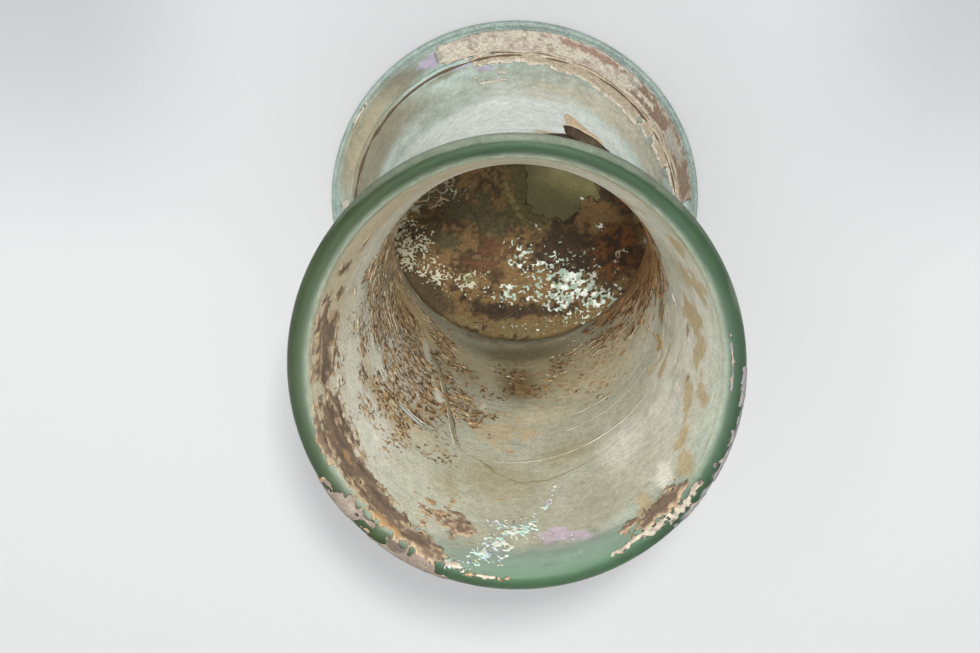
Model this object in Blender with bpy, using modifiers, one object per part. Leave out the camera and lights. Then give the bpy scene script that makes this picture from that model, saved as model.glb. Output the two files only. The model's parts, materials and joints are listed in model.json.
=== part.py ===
"""Ancient blown-glass beaker, standing on its foot with the mouth up.

One blown piece: a spool-shaped body with a narrow waist, a wide mouth with a thick
fire-rounded lip, a floor pushed up inside a splayed foot that is hollow underneath,
a jagged break through the wall and two open stretches of one crack.
Metres, +Z up, origin under the middle of the foot.
"""
import math

import bmesh
import bpy
import numpy as np

MM = 0.001

# Overall size
HEIGHT = 98.0 * MM
MOUTH_WIDTH = 70.0 * MM
MOUTH_LENGTH = 73.3 * MM
FOOT_DIAMETER = 70.1 * MM

# Body: radial wall, inner diameters, and how sharply it flares above and below the waist
WALL = 1.7 * MM
WAIST_BORE = 45.2 * MM
WAIST_HEIGHT = 44.0 * MM
FLOOR_BORE = 50.6 * MM
MOUTH_FLARE = 1.7
FLOOR_FLARE = 3.0
FOOT_FLARE = 4.2
MOUTH_OVAL_FROM = 50.0 * MM

# Lip, the fire-rounded edge of the mouth, and how far below its middle the outer wall begins
LIP_THICKNESS = 3.5 * MM
LIP_NECK = 2.6 * MM
LIP_ARC = (180.0, -70.0)

# Floor of the cup, domed, with a rounded corner where the wall begins
FLOOR_HEIGHT = 7.9 * MM
FLOOR_THICKNESS = 2.8 * MM
FLOOR_DOME = 1.2 * MM
FLOOR_CORNER = 1.4 * MM
CORNER_ARC = (-60.0, -15.0)

# Foot: a steep band between two thin ridges, a rounded edge and a flat ring to stand on
BAND_TOP_DIAMETER = 61.0 * MM
BAND_TOP_HEIGHT = 8.0 * MM
BAND_FOOT_DIAMETER = 67.6 * MM
BAND_FOOT_HEIGHT = 1.9 * MM
RIDGE_RISE = 0.4 * MM
RIDGE_WIDTH = 0.9 * MM
RIDGE_CREST = 0.3 * MM
FOOT_EDGE_HEIGHT = 0.8 * MM
REST_OUTER_DIAMETER = 68.6 * MM
REST_INNER_DIAMETER = 62.0 * MM
UNDERSIDE_CORNER = 4.0 * MM

# The hollow sits a little to one side of the foot's axis, as blown by hand
HOLLOW_OFFSET = 0.95 * MM

# Break through the wall: middle and size, measured along the wall and upwards
BREAK_ANGLE = math.radians(61.0)
BREAK_HEIGHT = 43.0 * MM
BREAK_WIDTH = 17.0 * MM
BREAK_TALL = 21.0 * MM

# Open stretches of the crack round the body, the second one slanting
CRACK_HEIGHT = 69.2 * MM
CRACK_GAP = 0.8 * MM
CRACK_FRONT_ANGLE = math.radians(-134.0)
CRACK_FRONT_LENGTH = 9.0 * MM
CRACK_SIDE_ANGLE = math.radians(6.5)
CRACK_SIDE_LENGTH = 3.4 * MM
CRACK_SIDE_SLANT = math.radians(-42.0)

# How far a cut reaches each way from the middle of the wall, in thicknesses of the wall
CUT_REACH = 2.5

# Number of facets round the body and of stations along each stretch of the outline
TURN_STEPS = 72
UPPER_STATIONS = 8
LOWER_STATIONS = 7
LOWER_CROWDING = 0.65
LIP_STATIONS = 9
CORNER_STATIONS = 3
DOME_STATIONS = 4
UNDERSIDE_STATIONS = 3
CRACK_STATIONS = 7
MERGE = 0.01 * MM

# Weathered blue-green glass, linear colour
GLASS_COLOUR = (0.47, 0.60, 0.50, 1.0)
GLASS_ROUGHNESS = 0.35
GLASS_TRANSMISSION = 0.6
SMOOTH_BELOW = math.radians(35.0)

MOUTH_RADIUS = MOUTH_WIDTH / 2
LIP_RADIUS = LIP_THICKNESS / 2
LIP_HEIGHT = HEIGHT - LIP_RADIUS
WAIST_RADIUS = WAIST_BORE / 2
MOUTH_INNER_RADIUS = MOUTH_RADIUS - LIP_THICKNESS


def clear_scene():
    for obj in list(bpy.data.objects):
        bpy.data.objects.remove(obj, do_unlink=True)


def new_collection(name):
    collection = bpy.data.collections.new(name)
    bpy.context.scene.collection.children.link(collection)
    return collection


def add_object(name, mesh, collection):
    obj = bpy.data.objects.new(name, mesh)
    collection.objects.link(obj)
    return obj


def inner_radius(height):
    """Radius of the hollow: the waist, plus a power of the distance above or below it."""
    if height >= WAIST_HEIGHT:
        share = (height - WAIST_HEIGHT) / (LIP_HEIGHT - WAIST_HEIGHT)
        return WAIST_RADIUS + (MOUTH_INNER_RADIUS - WAIST_RADIUS) * share**MOUTH_FLARE
    share = (WAIST_HEIGHT - height) / (WAIST_HEIGHT - FLOOR_HEIGHT)
    return WAIST_RADIUS + (FLOOR_BORE / 2 - WAIST_RADIUS) * share**FLOOR_FLARE


def outer_radius(height):
    """Radius of the outside: the hollow and its wall, and below the waist the flare into the foot."""
    if height >= WAIST_HEIGHT:
        return inner_radius(height) + WALL
    share = (WAIST_HEIGHT - height) / (WAIST_HEIGHT - BAND_TOP_HEIGHT)
    waist = WAIST_RADIUS + WALL
    return waist + (BAND_TOP_DIAMETER / 2 - waist) * share**FOOT_FLARE


def arc(centre, radii, start, end, count):
    """Points on an ellipse of the profile plane, from one angle in degrees to another."""
    angles = np.radians(np.linspace(start, end, count))
    return [(centre[0] + radii[0] * math.cos(a), centre[1] + radii[1] * math.sin(a)) for a in angles]


def dome(radius, height, count):
    """Points of a shallow dome from its middle out: it falls with the square of the distance."""
    return [(radius * s, height + FLOOR_DOME * (1 - s * s)) for s in np.linspace(0.0, 1.0, count)]


def ridge(at, along):
    """A thin raised ring on the outline: up to its crest and down again, square to the outline."""
    length = math.hypot(*along)
    run = (along[0] / length, along[1] / length)
    out = (-run[1], run[0])
    half, crest = RIDGE_WIDTH / 2, RIDGE_CREST / 2
    points = []
    for step, rise in ((-half, 0.0), (-crest, RIDGE_RISE), (crest, RIDGE_RISE), (half, 0.0)):
        points.append((at[0] + run[0] * step + out[0] * rise, at[1] + run[1] * step + out[1] * rise))
    return points


def floor_points():
    """Top of the floor, a shallow dome, then the rounded corner up to the wall."""
    flat = FLOOR_BORE / 2 - FLOOR_CORNER
    middle = (flat, FLOOR_HEIGHT + FLOOR_CORNER)
    corner = arc(middle, (FLOOR_CORNER, FLOOR_CORNER), *CORNER_ARC, CORNER_STATIONS)
    return dome(flat, FLOOR_HEIGHT, DOME_STATIONS) + corner


def below_waist(end):
    """Heights from the waist down to an end, closer together where the wall flares."""
    shares = np.linspace(0.0, 1.0, LOWER_STATIONS) ** LOWER_CROWDING
    return WAIST_HEIGHT + (end - WAIST_HEIGHT) * shares


def inner_wall_points():
    lower = below_waist(FLOOR_HEIGHT + 2 * FLOOR_CORNER)[::-1]
    upper = np.linspace(WAIST_HEIGHT, LIP_HEIGHT, UPPER_STATIONS + 1)[1:-1]
    return [(inner_radius(z), z) for z in (*lower, *upper)]


def lip_points():
    middle = (MOUTH_RADIUS - LIP_RADIUS, LIP_HEIGHT)
    return arc(middle, (LIP_RADIUS, LIP_RADIUS), *LIP_ARC, LIP_STATIONS)


def outer_wall_points():
    upper = np.linspace(LIP_HEIGHT - LIP_NECK, WAIST_HEIGHT, UPPER_STATIONS)[:-1]
    lower = below_waist(BAND_TOP_HEIGHT + RIDGE_WIDTH)
    return [(outer_radius(z), z) for z in (*upper, *lower)]


def foot_points():
    """The band between its two ridges, the rounded edge, the flat ring and the hollow underneath."""
    top = (BAND_TOP_DIAMETER / 2, BAND_TOP_HEIGHT)
    foot = (BAND_FOOT_DIAMETER / 2, BAND_FOOT_HEIGHT)
    down = (foot[0] - top[0], foot[1] - top[1])
    rest_outer = REST_OUTER_DIAMETER / 2
    edge_round = (FOOT_DIAMETER / 2 - rest_outer, FOOT_EDGE_HEIGHT)
    shoulder = REST_INNER_DIAMETER / 2 - UNDERSIDE_CORNER
    underside = FLOOR_HEIGHT - FLOOR_THICKNESS
    corner_round = (UNDERSIDE_CORNER, underside)
    return [
        *ridge(top, down),
        ((top[0] + foot[0]) / 2, (top[1] + foot[1]) / 2),
        *ridge(foot, down),
        *arc((rest_outer, FOOT_EDGE_HEIGHT), edge_round, 0, -90, CORNER_STATIONS),
        *arc((shoulder, 0.0), corner_round, 0, 90, UNDERSIDE_STATIONS)[:-1],
        *dome(shoulder, underside, DOME_STATIONS)[::-1],
    ]


def turned_mesh():
    """The whole profile, from the middle of the floor over the lip to the underside, turned once."""
    profile = floor_points() + inner_wall_points() + lip_points() + outer_wall_points() + foot_points()
    mesh = bpy.data.meshes.new("profile")
    edges = [(i, i + 1) for i in range(len(profile) - 1)]
    mesh.from_pydata([(r, 0.0, z) for r, z in profile], edges, [])
    guide = add_object("profile", mesh, bpy.context.scene.collection)
    screw = guide.modifiers.new("turn", "SCREW")
    screw.axis = "Z"
    screw.angle = 2 * math.pi
    screw.steps = screw.render_steps = TURN_STEPS
    screw.use_merge_vertices = True
    screw.merge_threshold = MERGE
    graph = bpy.context.evaluated_depsgraph_get()
    turned = bpy.data.meshes.new_from_object(guide.evaluated_get(graph))
    bpy.data.objects.remove(guide, do_unlink=True)
    return turned


def eased(share):
    """0 to 1 with a flat start and end."""
    share = np.clip(share, 0.0, 1.0)
    return share * share * (3 - 2 * share)


def shaped_by_hand(mesh):
    """Stretches the mouth into its oval and moves the hollow and the body to one side.

    The stretch grows with the square of the height above MOUTH_OVAL_FROM. The hollow's offset is
    whole from the floor to the middle and fades out at the lip; the outside fades out at the foot too.
    """
    points = np.empty(len(mesh.vertices) * 3)
    mesh.vertices.foreach_get("co", points)
    points = points.reshape(-1, 3)
    radius = np.hypot(points[:, 0], points[:, 1])
    z = points[:, 2]
    middle = np.array([(inner_radius(h) + outer_radius(h)) / 2 for h in z])
    inside = (radius < middle) & (z > FLOOR_HEIGHT - FLOOR_THICKNESS / 2)
    fade_up = 1 - eased((z - WAIST_HEIGHT) / (LIP_HEIGHT - WAIST_HEIGHT))
    fade_down = eased((z - BAND_TOP_HEIGHT - 2 * RIDGE_WIDTH) / (WAIST_HEIGHT - BAND_TOP_HEIGHT))
    points[:, 0] += HOLLOW_OFFSET * fade_up * np.where(inside, 1.0, fade_down)
    rise = np.clip((z - MOUTH_OVAL_FROM) / (LIP_HEIGHT - MOUTH_OVAL_FROM), 0.0, 1.0)
    points[:, 1] *= 1 + (MOUTH_LENGTH / MOUTH_WIDTH - 1) * rise**2
    mesh.vertices.foreach_set("co", points.ravel())
    mesh.update()


def wall_cutter(name, outline, angle, height, collection):
    """A closed plug with this outline, (along the wall, up), pushed square through the wall."""
    middle = (inner_radius(height) + outer_radius(height)) / 2
    reach = CUT_REACH * WALL
    mesh = bpy.data.meshes.new(name)
    built = bmesh.new()
    rim = [built.verts.new((x, y, -reach)) for x, y in outline]
    face = built.faces.new(rim)
    grown = bmesh.ops.extrude_face_region(built, geom=[face])
    moved = [v for v in grown["geom"] if isinstance(v, bmesh.types.BMVert)]
    bmesh.ops.translate(built, verts=moved, vec=(0.0, 0.0, 2 * reach))
    bmesh.ops.recalc_face_normals(built, faces=built.faces)
    built.to_mesh(mesh)
    built.free()
    cutter = add_object(name, mesh, collection)
    cutter.rotation_euler = (math.pi / 2, 0.0, angle + math.pi / 2)
    cutter.location = (middle * math.cos(angle), middle * math.sin(angle), height)
    cutter.hide_render = True
    cutter.display_type = "WIRE"
    return cutter


def break_outline():
    """The break's ragged edge, as shares of its width and height from its middle."""
    shares = (
        (-0.50, 0.12), (-0.43, 0.06), (-0.33, -0.02), (-0.21, -0.12), (-0.225, -0.42), (-0.105, -0.50),
        (0.01, -0.45), (0.16, -0.455), (0.24, -0.37), (0.37, -0.32), (0.50, -0.18), (0.45, 0.04),
        (0.36, 0.24), (0.18, 0.30), (0.05, 0.50), (-0.18, 0.36), (-0.32, 0.40),
    )
    return [(-x * BREAK_WIDTH, y * BREAK_TALL) for x, y in shares]


def crack_outline(length, gap, slant):
    """A lens, pointed at both ends, as where a crack has opened, turned by its slant."""
    stations = np.linspace(-0.5, 0.5, CRACK_STATIONS)
    upper = [(x * length, gap / 2 * math.cos(math.pi * x)) for x in stations]
    lower = [(x, -y) for x, y in reversed(upper[1:-1])]
    c, s = math.cos(slant), math.sin(slant)
    return [(x * c - y * s, x * s + y * c) for x, y in upper + lower]


def cut(body, cutter):
    modifier = body.modifiers.new(cutter.name, "BOOLEAN")
    modifier.operation = "DIFFERENCE"
    modifier.solver = "EXACT"
    modifier.object = cutter


def glass_material():
    material = bpy.data.materials.new("weathered_blue_green_glass")
    material.use_nodes = True
    shader = material.node_tree.nodes["Principled BSDF"]
    shader.inputs["Base Color"].default_value = GLASS_COLOUR
    shader.inputs["Roughness"].default_value = GLASS_ROUGHNESS
    shader.inputs["Metallic"].default_value = 0.0
    shader.inputs["Transmission Weight"].default_value = GLASS_TRANSMISSION
    return material


def main():
    clear_scene()
    parts = new_collection("glass_beaker")
    cutters = new_collection("cutters")

    mesh = turned_mesh()
    mesh.name = "beaker"
    shaped_by_hand(mesh)
    mesh.shade_smooth()
    mesh.set_sharp_from_angle(angle=SMOOTH_BELOW)
    beaker = add_object("beaker", mesh, parts)
    beaker.data.materials.append(glass_material())

    cracks = (
        ("crack_front", CRACK_FRONT_ANGLE, CRACK_FRONT_LENGTH, 0.0),
        ("crack_side", CRACK_SIDE_ANGLE, CRACK_SIDE_LENGTH, CRACK_SIDE_SLANT),
    )
    cut(beaker, wall_cutter("break", break_outline(), BREAK_ANGLE, BREAK_HEIGHT, cutters))
    for name, angle, length, slant in cracks:
        outline = crack_outline(length, CRACK_GAP, slant)
        cut(beaker, wall_cutter(name, outline, angle, CRACK_HEIGHT, cutters))


main()
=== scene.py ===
# %% [markdown]
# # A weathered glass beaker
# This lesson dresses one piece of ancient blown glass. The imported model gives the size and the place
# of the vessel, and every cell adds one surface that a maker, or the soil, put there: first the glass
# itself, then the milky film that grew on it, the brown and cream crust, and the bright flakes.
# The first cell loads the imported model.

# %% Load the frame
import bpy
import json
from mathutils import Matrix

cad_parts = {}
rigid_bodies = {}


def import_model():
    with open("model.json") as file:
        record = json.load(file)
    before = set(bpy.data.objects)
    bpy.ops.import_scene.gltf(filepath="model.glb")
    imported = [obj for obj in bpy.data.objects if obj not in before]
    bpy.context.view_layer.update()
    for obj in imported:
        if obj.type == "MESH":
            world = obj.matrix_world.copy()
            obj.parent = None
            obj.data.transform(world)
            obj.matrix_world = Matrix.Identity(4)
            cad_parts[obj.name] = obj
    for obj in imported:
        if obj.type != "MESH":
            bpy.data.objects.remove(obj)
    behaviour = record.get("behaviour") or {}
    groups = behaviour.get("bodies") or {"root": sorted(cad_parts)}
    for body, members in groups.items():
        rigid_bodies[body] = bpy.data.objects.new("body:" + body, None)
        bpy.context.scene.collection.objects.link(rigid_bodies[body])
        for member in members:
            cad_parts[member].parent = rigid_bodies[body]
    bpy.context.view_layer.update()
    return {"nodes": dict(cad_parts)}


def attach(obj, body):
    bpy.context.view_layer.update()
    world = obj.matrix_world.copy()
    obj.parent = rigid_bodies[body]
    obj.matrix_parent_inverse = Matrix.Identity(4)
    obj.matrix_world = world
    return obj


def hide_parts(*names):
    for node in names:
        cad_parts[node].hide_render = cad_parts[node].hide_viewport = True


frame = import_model()

# %% [markdown]
# ## Tools and units
# All surfaces here are worked out with numpy, in millimetres, because glass is measured so. Blender
# works in metres, so one factor turns the points over when a mesh is made.

# %% Imports and names
import json
import math

import bpy
import numpy as np
from mathutils import Matrix

MM = 0.001
NODE, BODY, SLOT = "beaker", "root", "weathered_glass"
print("nodes of the frame:", sorted(frame["nodes"]))

# %% [markdown]
# ## The camera
# The photograph looks down into the mouth, a little from the side of the break, with a long lens, so
# that the foot shows above the lip. The camera is placed by its distance from the middle of the mouth
# and by its tilt away from the vessel's axis, which are the two things that fix such a view. The mouth
# is a few millimetres off the middle of the picture, so the camera also stands that much aside, and it
# leans by less than half a degree, which is given in radians.

# %% Camera
LENS_MM, SENSOR_MM = 85.0, 36.0
MOUTH_DISTANCE = 351.3
TILT = math.radians(18.43)
LEAN = 0.0074
MOUTH_ASIDE = (4.04, -6.63)
MOUTH_MIDDLE = np.array([0.0, 0.0, 97.0])


def camera_axes():
    """Right, up and forward: tilted off the vessel's axis about X, then turned a little by the lean."""
    forward = np.array([0.0, -math.sin(TILT), -math.cos(TILT)])
    up = np.array([0.0, math.cos(TILT), -math.sin(TILT)])
    right = np.array([1.0, 0.0, 0.0])
    leant = forward * math.cos(LEAN) - right * math.sin(LEAN)
    across = right * math.cos(LEAN) + forward * math.sin(LEAN)
    return across, up, leant


across, up, forward = camera_axes()
eye = MOUTH_MIDDLE - MOUTH_DISTANCE * forward - MOUTH_ASIDE[0] * across - MOUTH_ASIDE[1] * up
lens = bpy.data.cameras.new("camera")
lens.lens, lens.sensor_width = LENS_MM, SENSOR_MM
camera = bpy.data.objects.new("camera", lens)
bpy.context.scene.collection.objects.link(camera)
turn = np.eye(4)
turn[:3, 0], turn[:3, 1], turn[:3, 2], turn[:3, 3] = across, up, -forward, eye * MM
camera.matrix_world = Matrix(turn.tolist())
bpy.context.scene.camera = camera
print("camera at, mm:", np.round(eye, 1))

# %% [markdown]
# ## The outline of the vessel
# Blown glass is turned on a pipe, so one outline describes it: from the middle of the floor, up the
# inner wall, over the lip, down the outer wall, round the foot and in under it. The formulas are those
# of the solid model. A length along the outline, called s, then names any place on either side,
# and crust can run over the lip from the inside to the outside without a seam.

# %% Sizes of the outline, in millimetres
HEIGHT, MOUTH_WIDTH, MOUTH_LENGTH, FOOT_DIAMETER = 98.0, 70.0, 73.3, 70.1
WALL, WAIST_RADIUS, WAIST_HEIGHT = 1.7, 22.6, 44.0
MOUTH_FLARE, FLOOR_FLARE, FOOT_FLARE = 1.7, 3.0, 4.2
LIP_THICKNESS, LIP_NECK = 3.5, 2.6
FLOOR_RADIUS, FLOOR_HEIGHT, FLOOR_THICKNESS, FLOOR_DOME, FLOOR_CORNER = 25.3, 7.9, 2.8, 1.2, 1.4
BAND_TOP_RADIUS, BAND_TOP_HEIGHT, BAND_FOOT_RADIUS, BAND_FOOT_HEIGHT = 30.5, 8.0, 33.8, 1.9
RIDGE_RISE, RIDGE_WIDTH, RIDGE_CREST = 0.45, 0.9, 0.3
FOOT_EDGE_HEIGHT, REST_OUTER_RADIUS, REST_INNER_RADIUS, UNDERSIDE_CORNER = 0.8, 34.3, 31.0, 4.0
HOLLOW_OFFSET, OVAL_FROM = 0.95, 50.0
LIP_RADIUS = LIP_THICKNESS / 2
LIP_HEIGHT = HEIGHT - LIP_RADIUS
MOUTH_INNER_RADIUS = MOUTH_WIDTH / 2 - LIP_THICKNESS
FLOOR_FLAT = FLOOR_RADIUS - FLOOR_CORNER
OUTLINE_STEP = 0.05
FIRE_ROUNDING = 0.5
INSIDE_POINTS, OUTSIDE_POINTS, DOME_POINTS, ARC_POINTS = 200, 300, 60, 40


def eased(share):
    """0 to 1 with a flat start and end: share squared times three less twice the share."""
    share = np.clip(share, 0.0, 1.0)
    return share * share * (3 - 2 * share)


def soft(value, low, high):
    """0 at low, 1 at high and eased between them."""
    return eased((value - low) / (high - low))


def inner_radius(z):
    """Radius of the hollow: the waist, plus a power of the distance above or below it."""
    above = np.clip((z - WAIST_HEIGHT) / (LIP_HEIGHT - WAIST_HEIGHT), 0, 1) ** MOUTH_FLARE
    below = np.clip((WAIST_HEIGHT - z) / (WAIST_HEIGHT - FLOOR_HEIGHT), 0, 1) ** FLOOR_FLARE
    return WAIST_RADIUS + (MOUTH_INNER_RADIUS - WAIST_RADIUS) * above + (FLOOR_RADIUS - WAIST_RADIUS) * below


def outer_radius(z):
    """Radius outside: the hollow and its wall above the waist, and the flare into the foot below."""
    waist = WAIST_RADIUS + WALL
    below = np.clip((WAIST_HEIGHT - z) / (WAIST_HEIGHT - BAND_TOP_HEIGHT), 0, 1) ** FOOT_FLARE
    return np.where(z >= WAIST_HEIGHT, inner_radius(z) + WALL, waist + (BAND_TOP_RADIUS - waist) * below)


def arc(middle, radii, start, end):
    """Points on an ellipse of the outline's plane, from one angle in degrees to another."""
    angles = np.radians(np.linspace(start, end, ARC_POINTS))
    return np.c_[middle[0] + radii[0] * np.cos(angles), middle[1] + radii[1] * np.sin(angles)]


def ridge(at, along):
    """A thin raised ring on the outline: up to its crest and down again, square to the outline."""
    run = np.array(along) / np.hypot(*along)
    out = np.array([-run[1], run[0]])
    steps = (-RIDGE_WIDTH / 2, -RIDGE_CREST / 2, RIDGE_CREST / 2, RIDGE_WIDTH / 2)
    rises = (0, RIDGE_RISE, RIDGE_RISE, 0)
    return np.array([at + run * step + out * rise for step, rise in zip(steps, rises)])


def dome(radii, height):
    """A shallow dome that falls with the square of the distance from its middle."""
    return np.c_[radii, height + FLOOR_DOME * (1 - (radii / np.max(radii)) ** 2)]


def raw_outline():
    """The stretches one after the other, as (radius, height)."""
    inside_z = np.linspace(FLOOR_HEIGHT + 2 * FLOOR_CORNER, LIP_HEIGHT, INSIDE_POINTS)[:-1]
    outside_z = np.linspace(LIP_HEIGHT - LIP_NECK, BAND_TOP_HEIGHT + RIDGE_WIDTH, OUTSIDE_POINTS)
    top, foot = np.array([BAND_TOP_RADIUS, BAND_TOP_HEIGHT]), np.array([BAND_FOOT_RADIUS, BAND_FOOT_HEIGHT])
    shoulder = REST_INNER_RADIUS - UNDERSIDE_CORNER
    underside = FLOOR_HEIGHT - FLOOR_THICKNESS
    edge = FOOT_DIAMETER / 2 - REST_OUTER_RADIUS
    return np.vstack([
        dome(np.linspace(0, FLOOR_FLAT, DOME_POINTS), FLOOR_HEIGHT),
        arc((FLOOR_FLAT, FLOOR_HEIGHT + FLOOR_CORNER), (FLOOR_CORNER, FLOOR_CORNER), -80, -15),
        np.c_[inner_radius(inside_z), inside_z],
        arc((MOUTH_WIDTH / 2 - LIP_RADIUS, LIP_HEIGHT), (LIP_RADIUS, LIP_RADIUS), 180, -70),
        np.c_[outer_radius(outside_z), outside_z],
        ridge(top, foot - top),
        ridge(foot, foot - top),
        arc((REST_OUTER_RADIUS, FOOT_EDGE_HEIGHT), (edge, FOOT_EDGE_HEIGHT), 0, -90),
        arc((shoulder, 0.0), (UNDERSIDE_CORNER, underside), 0, 88),
        dome(np.linspace(shoulder, 0, DOME_POINTS), underside),
    ])


def softened(values, width):
    """Running mean along the outline, odd at both ends, so that the fire rounds every corner."""
    half = int(width / OUTLINE_STEP / 2)
    padded = np.pad(values, half, mode="reflect", reflect_type="odd")
    return np.convolve(padded, np.ones(2 * half + 1) / (2 * half + 1), mode="valid")


raw = raw_outline()
raw_length = np.r_[0, np.cumsum(np.hypot(*np.diff(raw, axis=0).T))]
LENGTH = np.arange(0, raw_length[-1], OUTLINE_STEP)
RADIUS = softened(np.interp(LENGTH, raw_length, raw[:, 0]), FIRE_ROUNDING)
RISE = softened(np.interp(LENGTH, raw_length, raw[:, 1]), FIRE_ROUNDING)
NORMAL_R, NORMAL_Z = -np.gradient(RISE, OUTLINE_STEP), np.gradient(RADIUS, OUTLINE_STEP)
LIP_TOP = LENGTH[np.argmax(RISE)]
CORNER_TOP = LENGTH[np.argmax(RISE > FLOOR_HEIGHT + 2 * FLOOR_CORNER)]
FOOT_EDGE = LENGTH[np.argmax(RADIUS * (LENGTH > LIP_TOP) * (RISE < BAND_TOP_HEIGHT))]
END = LENGTH[-1]
print("outline %.1f mm long, top of the lip at %.1f, edge of the foot at %.1f" % (END, LIP_TOP, FOOT_EDGE))

# %% [markdown]
# ## Any place on the vessel
# Hand-blown glass is never quite round. The mouth is a little oval, the hollow sits off the axis of the
# foot, and the wall swells and sinks by about a tenth of a millimetre. One function puts an angle and a
# length along the outline into space with all of that, and lifts the point off the glass where a film
# or a crust lies on it. Two short ones find the length for a height on the inside or the outside.

# %% From angle and length to a point
SWELL, SECOND_SWELL, SWELL_FROM, SWELL_FULL = 0.10, 0.06, 9.0, 21.0
SWELL_PHASE, SWELL_RISE, SWELL_TWIST = 0.7, 23.0, 31.0
TOOL_MARK, TOOL_PITCH, TOOL_TILT = 0.012, 1.9, 1.5
CORNER_MARGIN = 2.0


def inside_at(z):
    """Length along the outline of a height on the inner wall."""
    part = (LENGTH >= CORNER_TOP - CORNER_MARGIN) & (LENGTH <= LIP_TOP)
    return np.interp(z, RISE[part], LENGTH[part])


def outside_at(z):
    """Length along the outline of a height on the outer wall and the foot."""
    part = (LENGTH >= LIP_TOP) & (LENGTH <= FOOT_EDGE)
    return np.interp(z, RISE[part][::-1], LENGTH[part][::-1])


def place(angle, s, lift=0.0):
    """Point in mm: the outline at s, pushed out by lift, swollen, turned by angle, made oval, moved aside.

    The swell is two waves round the body, which come and go with height, and three waves, which turn as
    they rise, and fine rings at the pitch of the tool. It is the same on both sides of the wall, and
    nothing at the foot.
    """
    angle, s = np.broadcast_arrays(angle, s)
    z = np.interp(s, LENGTH, RISE)
    body = soft(z, SWELL_FROM, SWELL_FULL)
    swell = SWELL * np.sin(2 * angle + SWELL_PHASE) * np.sin(z / SWELL_RISE)
    swell = swell + SECOND_SWELL * np.sin(3 * angle + z / SWELL_TWIST)
    rings = TOOL_MARK * np.sin(2 * np.pi * (z + TOOL_TILT * np.sin(angle)) / TOOL_PITCH)
    r = np.interp(s, LENGTH, RADIUS) + lift * np.interp(s, LENGTH, NORMAL_R) + body * (swell + rings)
    up_fade = 1 - soft(z, WAIST_HEIGHT, LIP_HEIGHT)
    down_fade = eased((z - BAND_TOP_HEIGHT - 2 * RIDGE_WIDTH) / (WAIST_HEIGHT - BAND_TOP_HEIGHT))
    aside = HOLLOW_OFFSET * up_fade * np.where(s < LIP_TOP, 1.0, down_fade)
    oval_share = np.clip((z - OVAL_FROM) / (LIP_HEIGHT - OVAL_FROM), 0, 1) ** 2
    oval = 1 + (MOUTH_LENGTH / MOUTH_WIDTH - 1) * oval_share
    z = z + lift * np.interp(s, LENGTH, NORMAL_Z)
    return np.stack([r * np.cos(angle) + aside, r * np.sin(angle) * oval, z], -1)


print("lip at the right:", np.round(place(0.0, LIP_TOP), 2))
print("waist at the right:", np.round(place(0.0, outside_at(WAIST_HEIGHT)), 2))

# %% [markdown]
# ## Noise from a lattice
# Crust grows in patches that no formula knows, so it needs noise. This one gives every corner of a
# lattice a random value by mixing the bits of its whole-number place, and blends between the corners.
# It needs no random state, so it gives the same crust each time. Adding finer and finer lattices, each
# at about half the strength, makes an edge as ragged as a real one.

# %% Noise
MASK = np.uint32(0xFFFFFFFF)
X_FACTOR, Y_FACTOR, Z_FACTOR = np.uint32(374761393), np.uint32(668265263), np.uint32(2246822519)
SEED_FACTOR, MIX_FACTOR = 3266489917, np.uint32(1274126177)
OCTAVE_STRENGTH = 0.55


def corner_value(ix, iy, iz, seed):
    """A value from -1 to 1 for each lattice corner: its place times odd numbers, with the bits mixed."""
    h = ix.astype(np.uint32) * X_FACTOR + iy.astype(np.uint32) * Y_FACTOR
    h = h + iz.astype(np.uint32) * Z_FACTOR + np.uint32(seed * SEED_FACTOR & int(MASK))
    h = (h ^ (h >> np.uint32(13))) * MIX_FACTOR
    h = (h ^ (h >> np.uint32(16))) & MASK
    return h / (int(MASK) / 2) - 1.0


def noise(points, size, seed):
    """Smooth noise on points in mm, one lattice cell to each size, blended from its eight corners."""
    p = points / np.asarray(size, float)
    cell = np.floor(p).astype(np.int64)
    f = p - cell
    f = f * f * (3 - 2 * f)
    total = 0.0
    for corner in range(8):
        step = np.array([corner & 1, corner >> 1 & 1, corner >> 2])
        weight = np.prod(np.where(step, f, 1 - f), axis=-1)
        total = total + weight * corner_value(*np.moveaxis(cell + step, -1, 0), seed)
    return total


def ragged(points, size, octaves, seed):
    """Noise plus the same at half the size and about half the strength, and so on, over their sum."""
    total, strength = 0.0, 0.0
    for octave in range(octaves):
        share = OCTAVE_STRENGTH**octave
        total = total + share * noise(points, np.asarray(size, float) / 2**octave, seed + octave)
        strength += share
    return total / strength


sample = ragged(np.random.default_rng(1).uniform(0, 50, (4000, 3)), 4.0, 4, 3)
print("noise runs from %.2f to %.2f, mean %.2f" % (sample.min(), sample.max(), sample.mean()))

# %% [markdown]
# ## Meshes and nodes
# Two small helpers serve every piece. One puts arrays into a mesh, with its faces, its material and any
# values that the material reads at each point. The other adds one node with its settings and links,
# so a material reads as a list of what feeds what. A Mix node has sockets of the same name for numbers,
# vectors and colours, so its colour sockets are taken by their place in the list.

# %% Helpers for meshes and materials
A_COLOUR, B_COLOUR, RESULT = 6, 7, 2


def colour(code):
    """An sRGB hex colour as linear red, green, blue and alpha."""
    channels = [int(code[i:i + 2], 16) / 255 for i in (1, 3, 5)]
    return tuple(c / 12.92 if c <= 0.04045 else ((c + 0.055) / 1.055) ** 2.4 for c in channels) + (1.0,)


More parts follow.
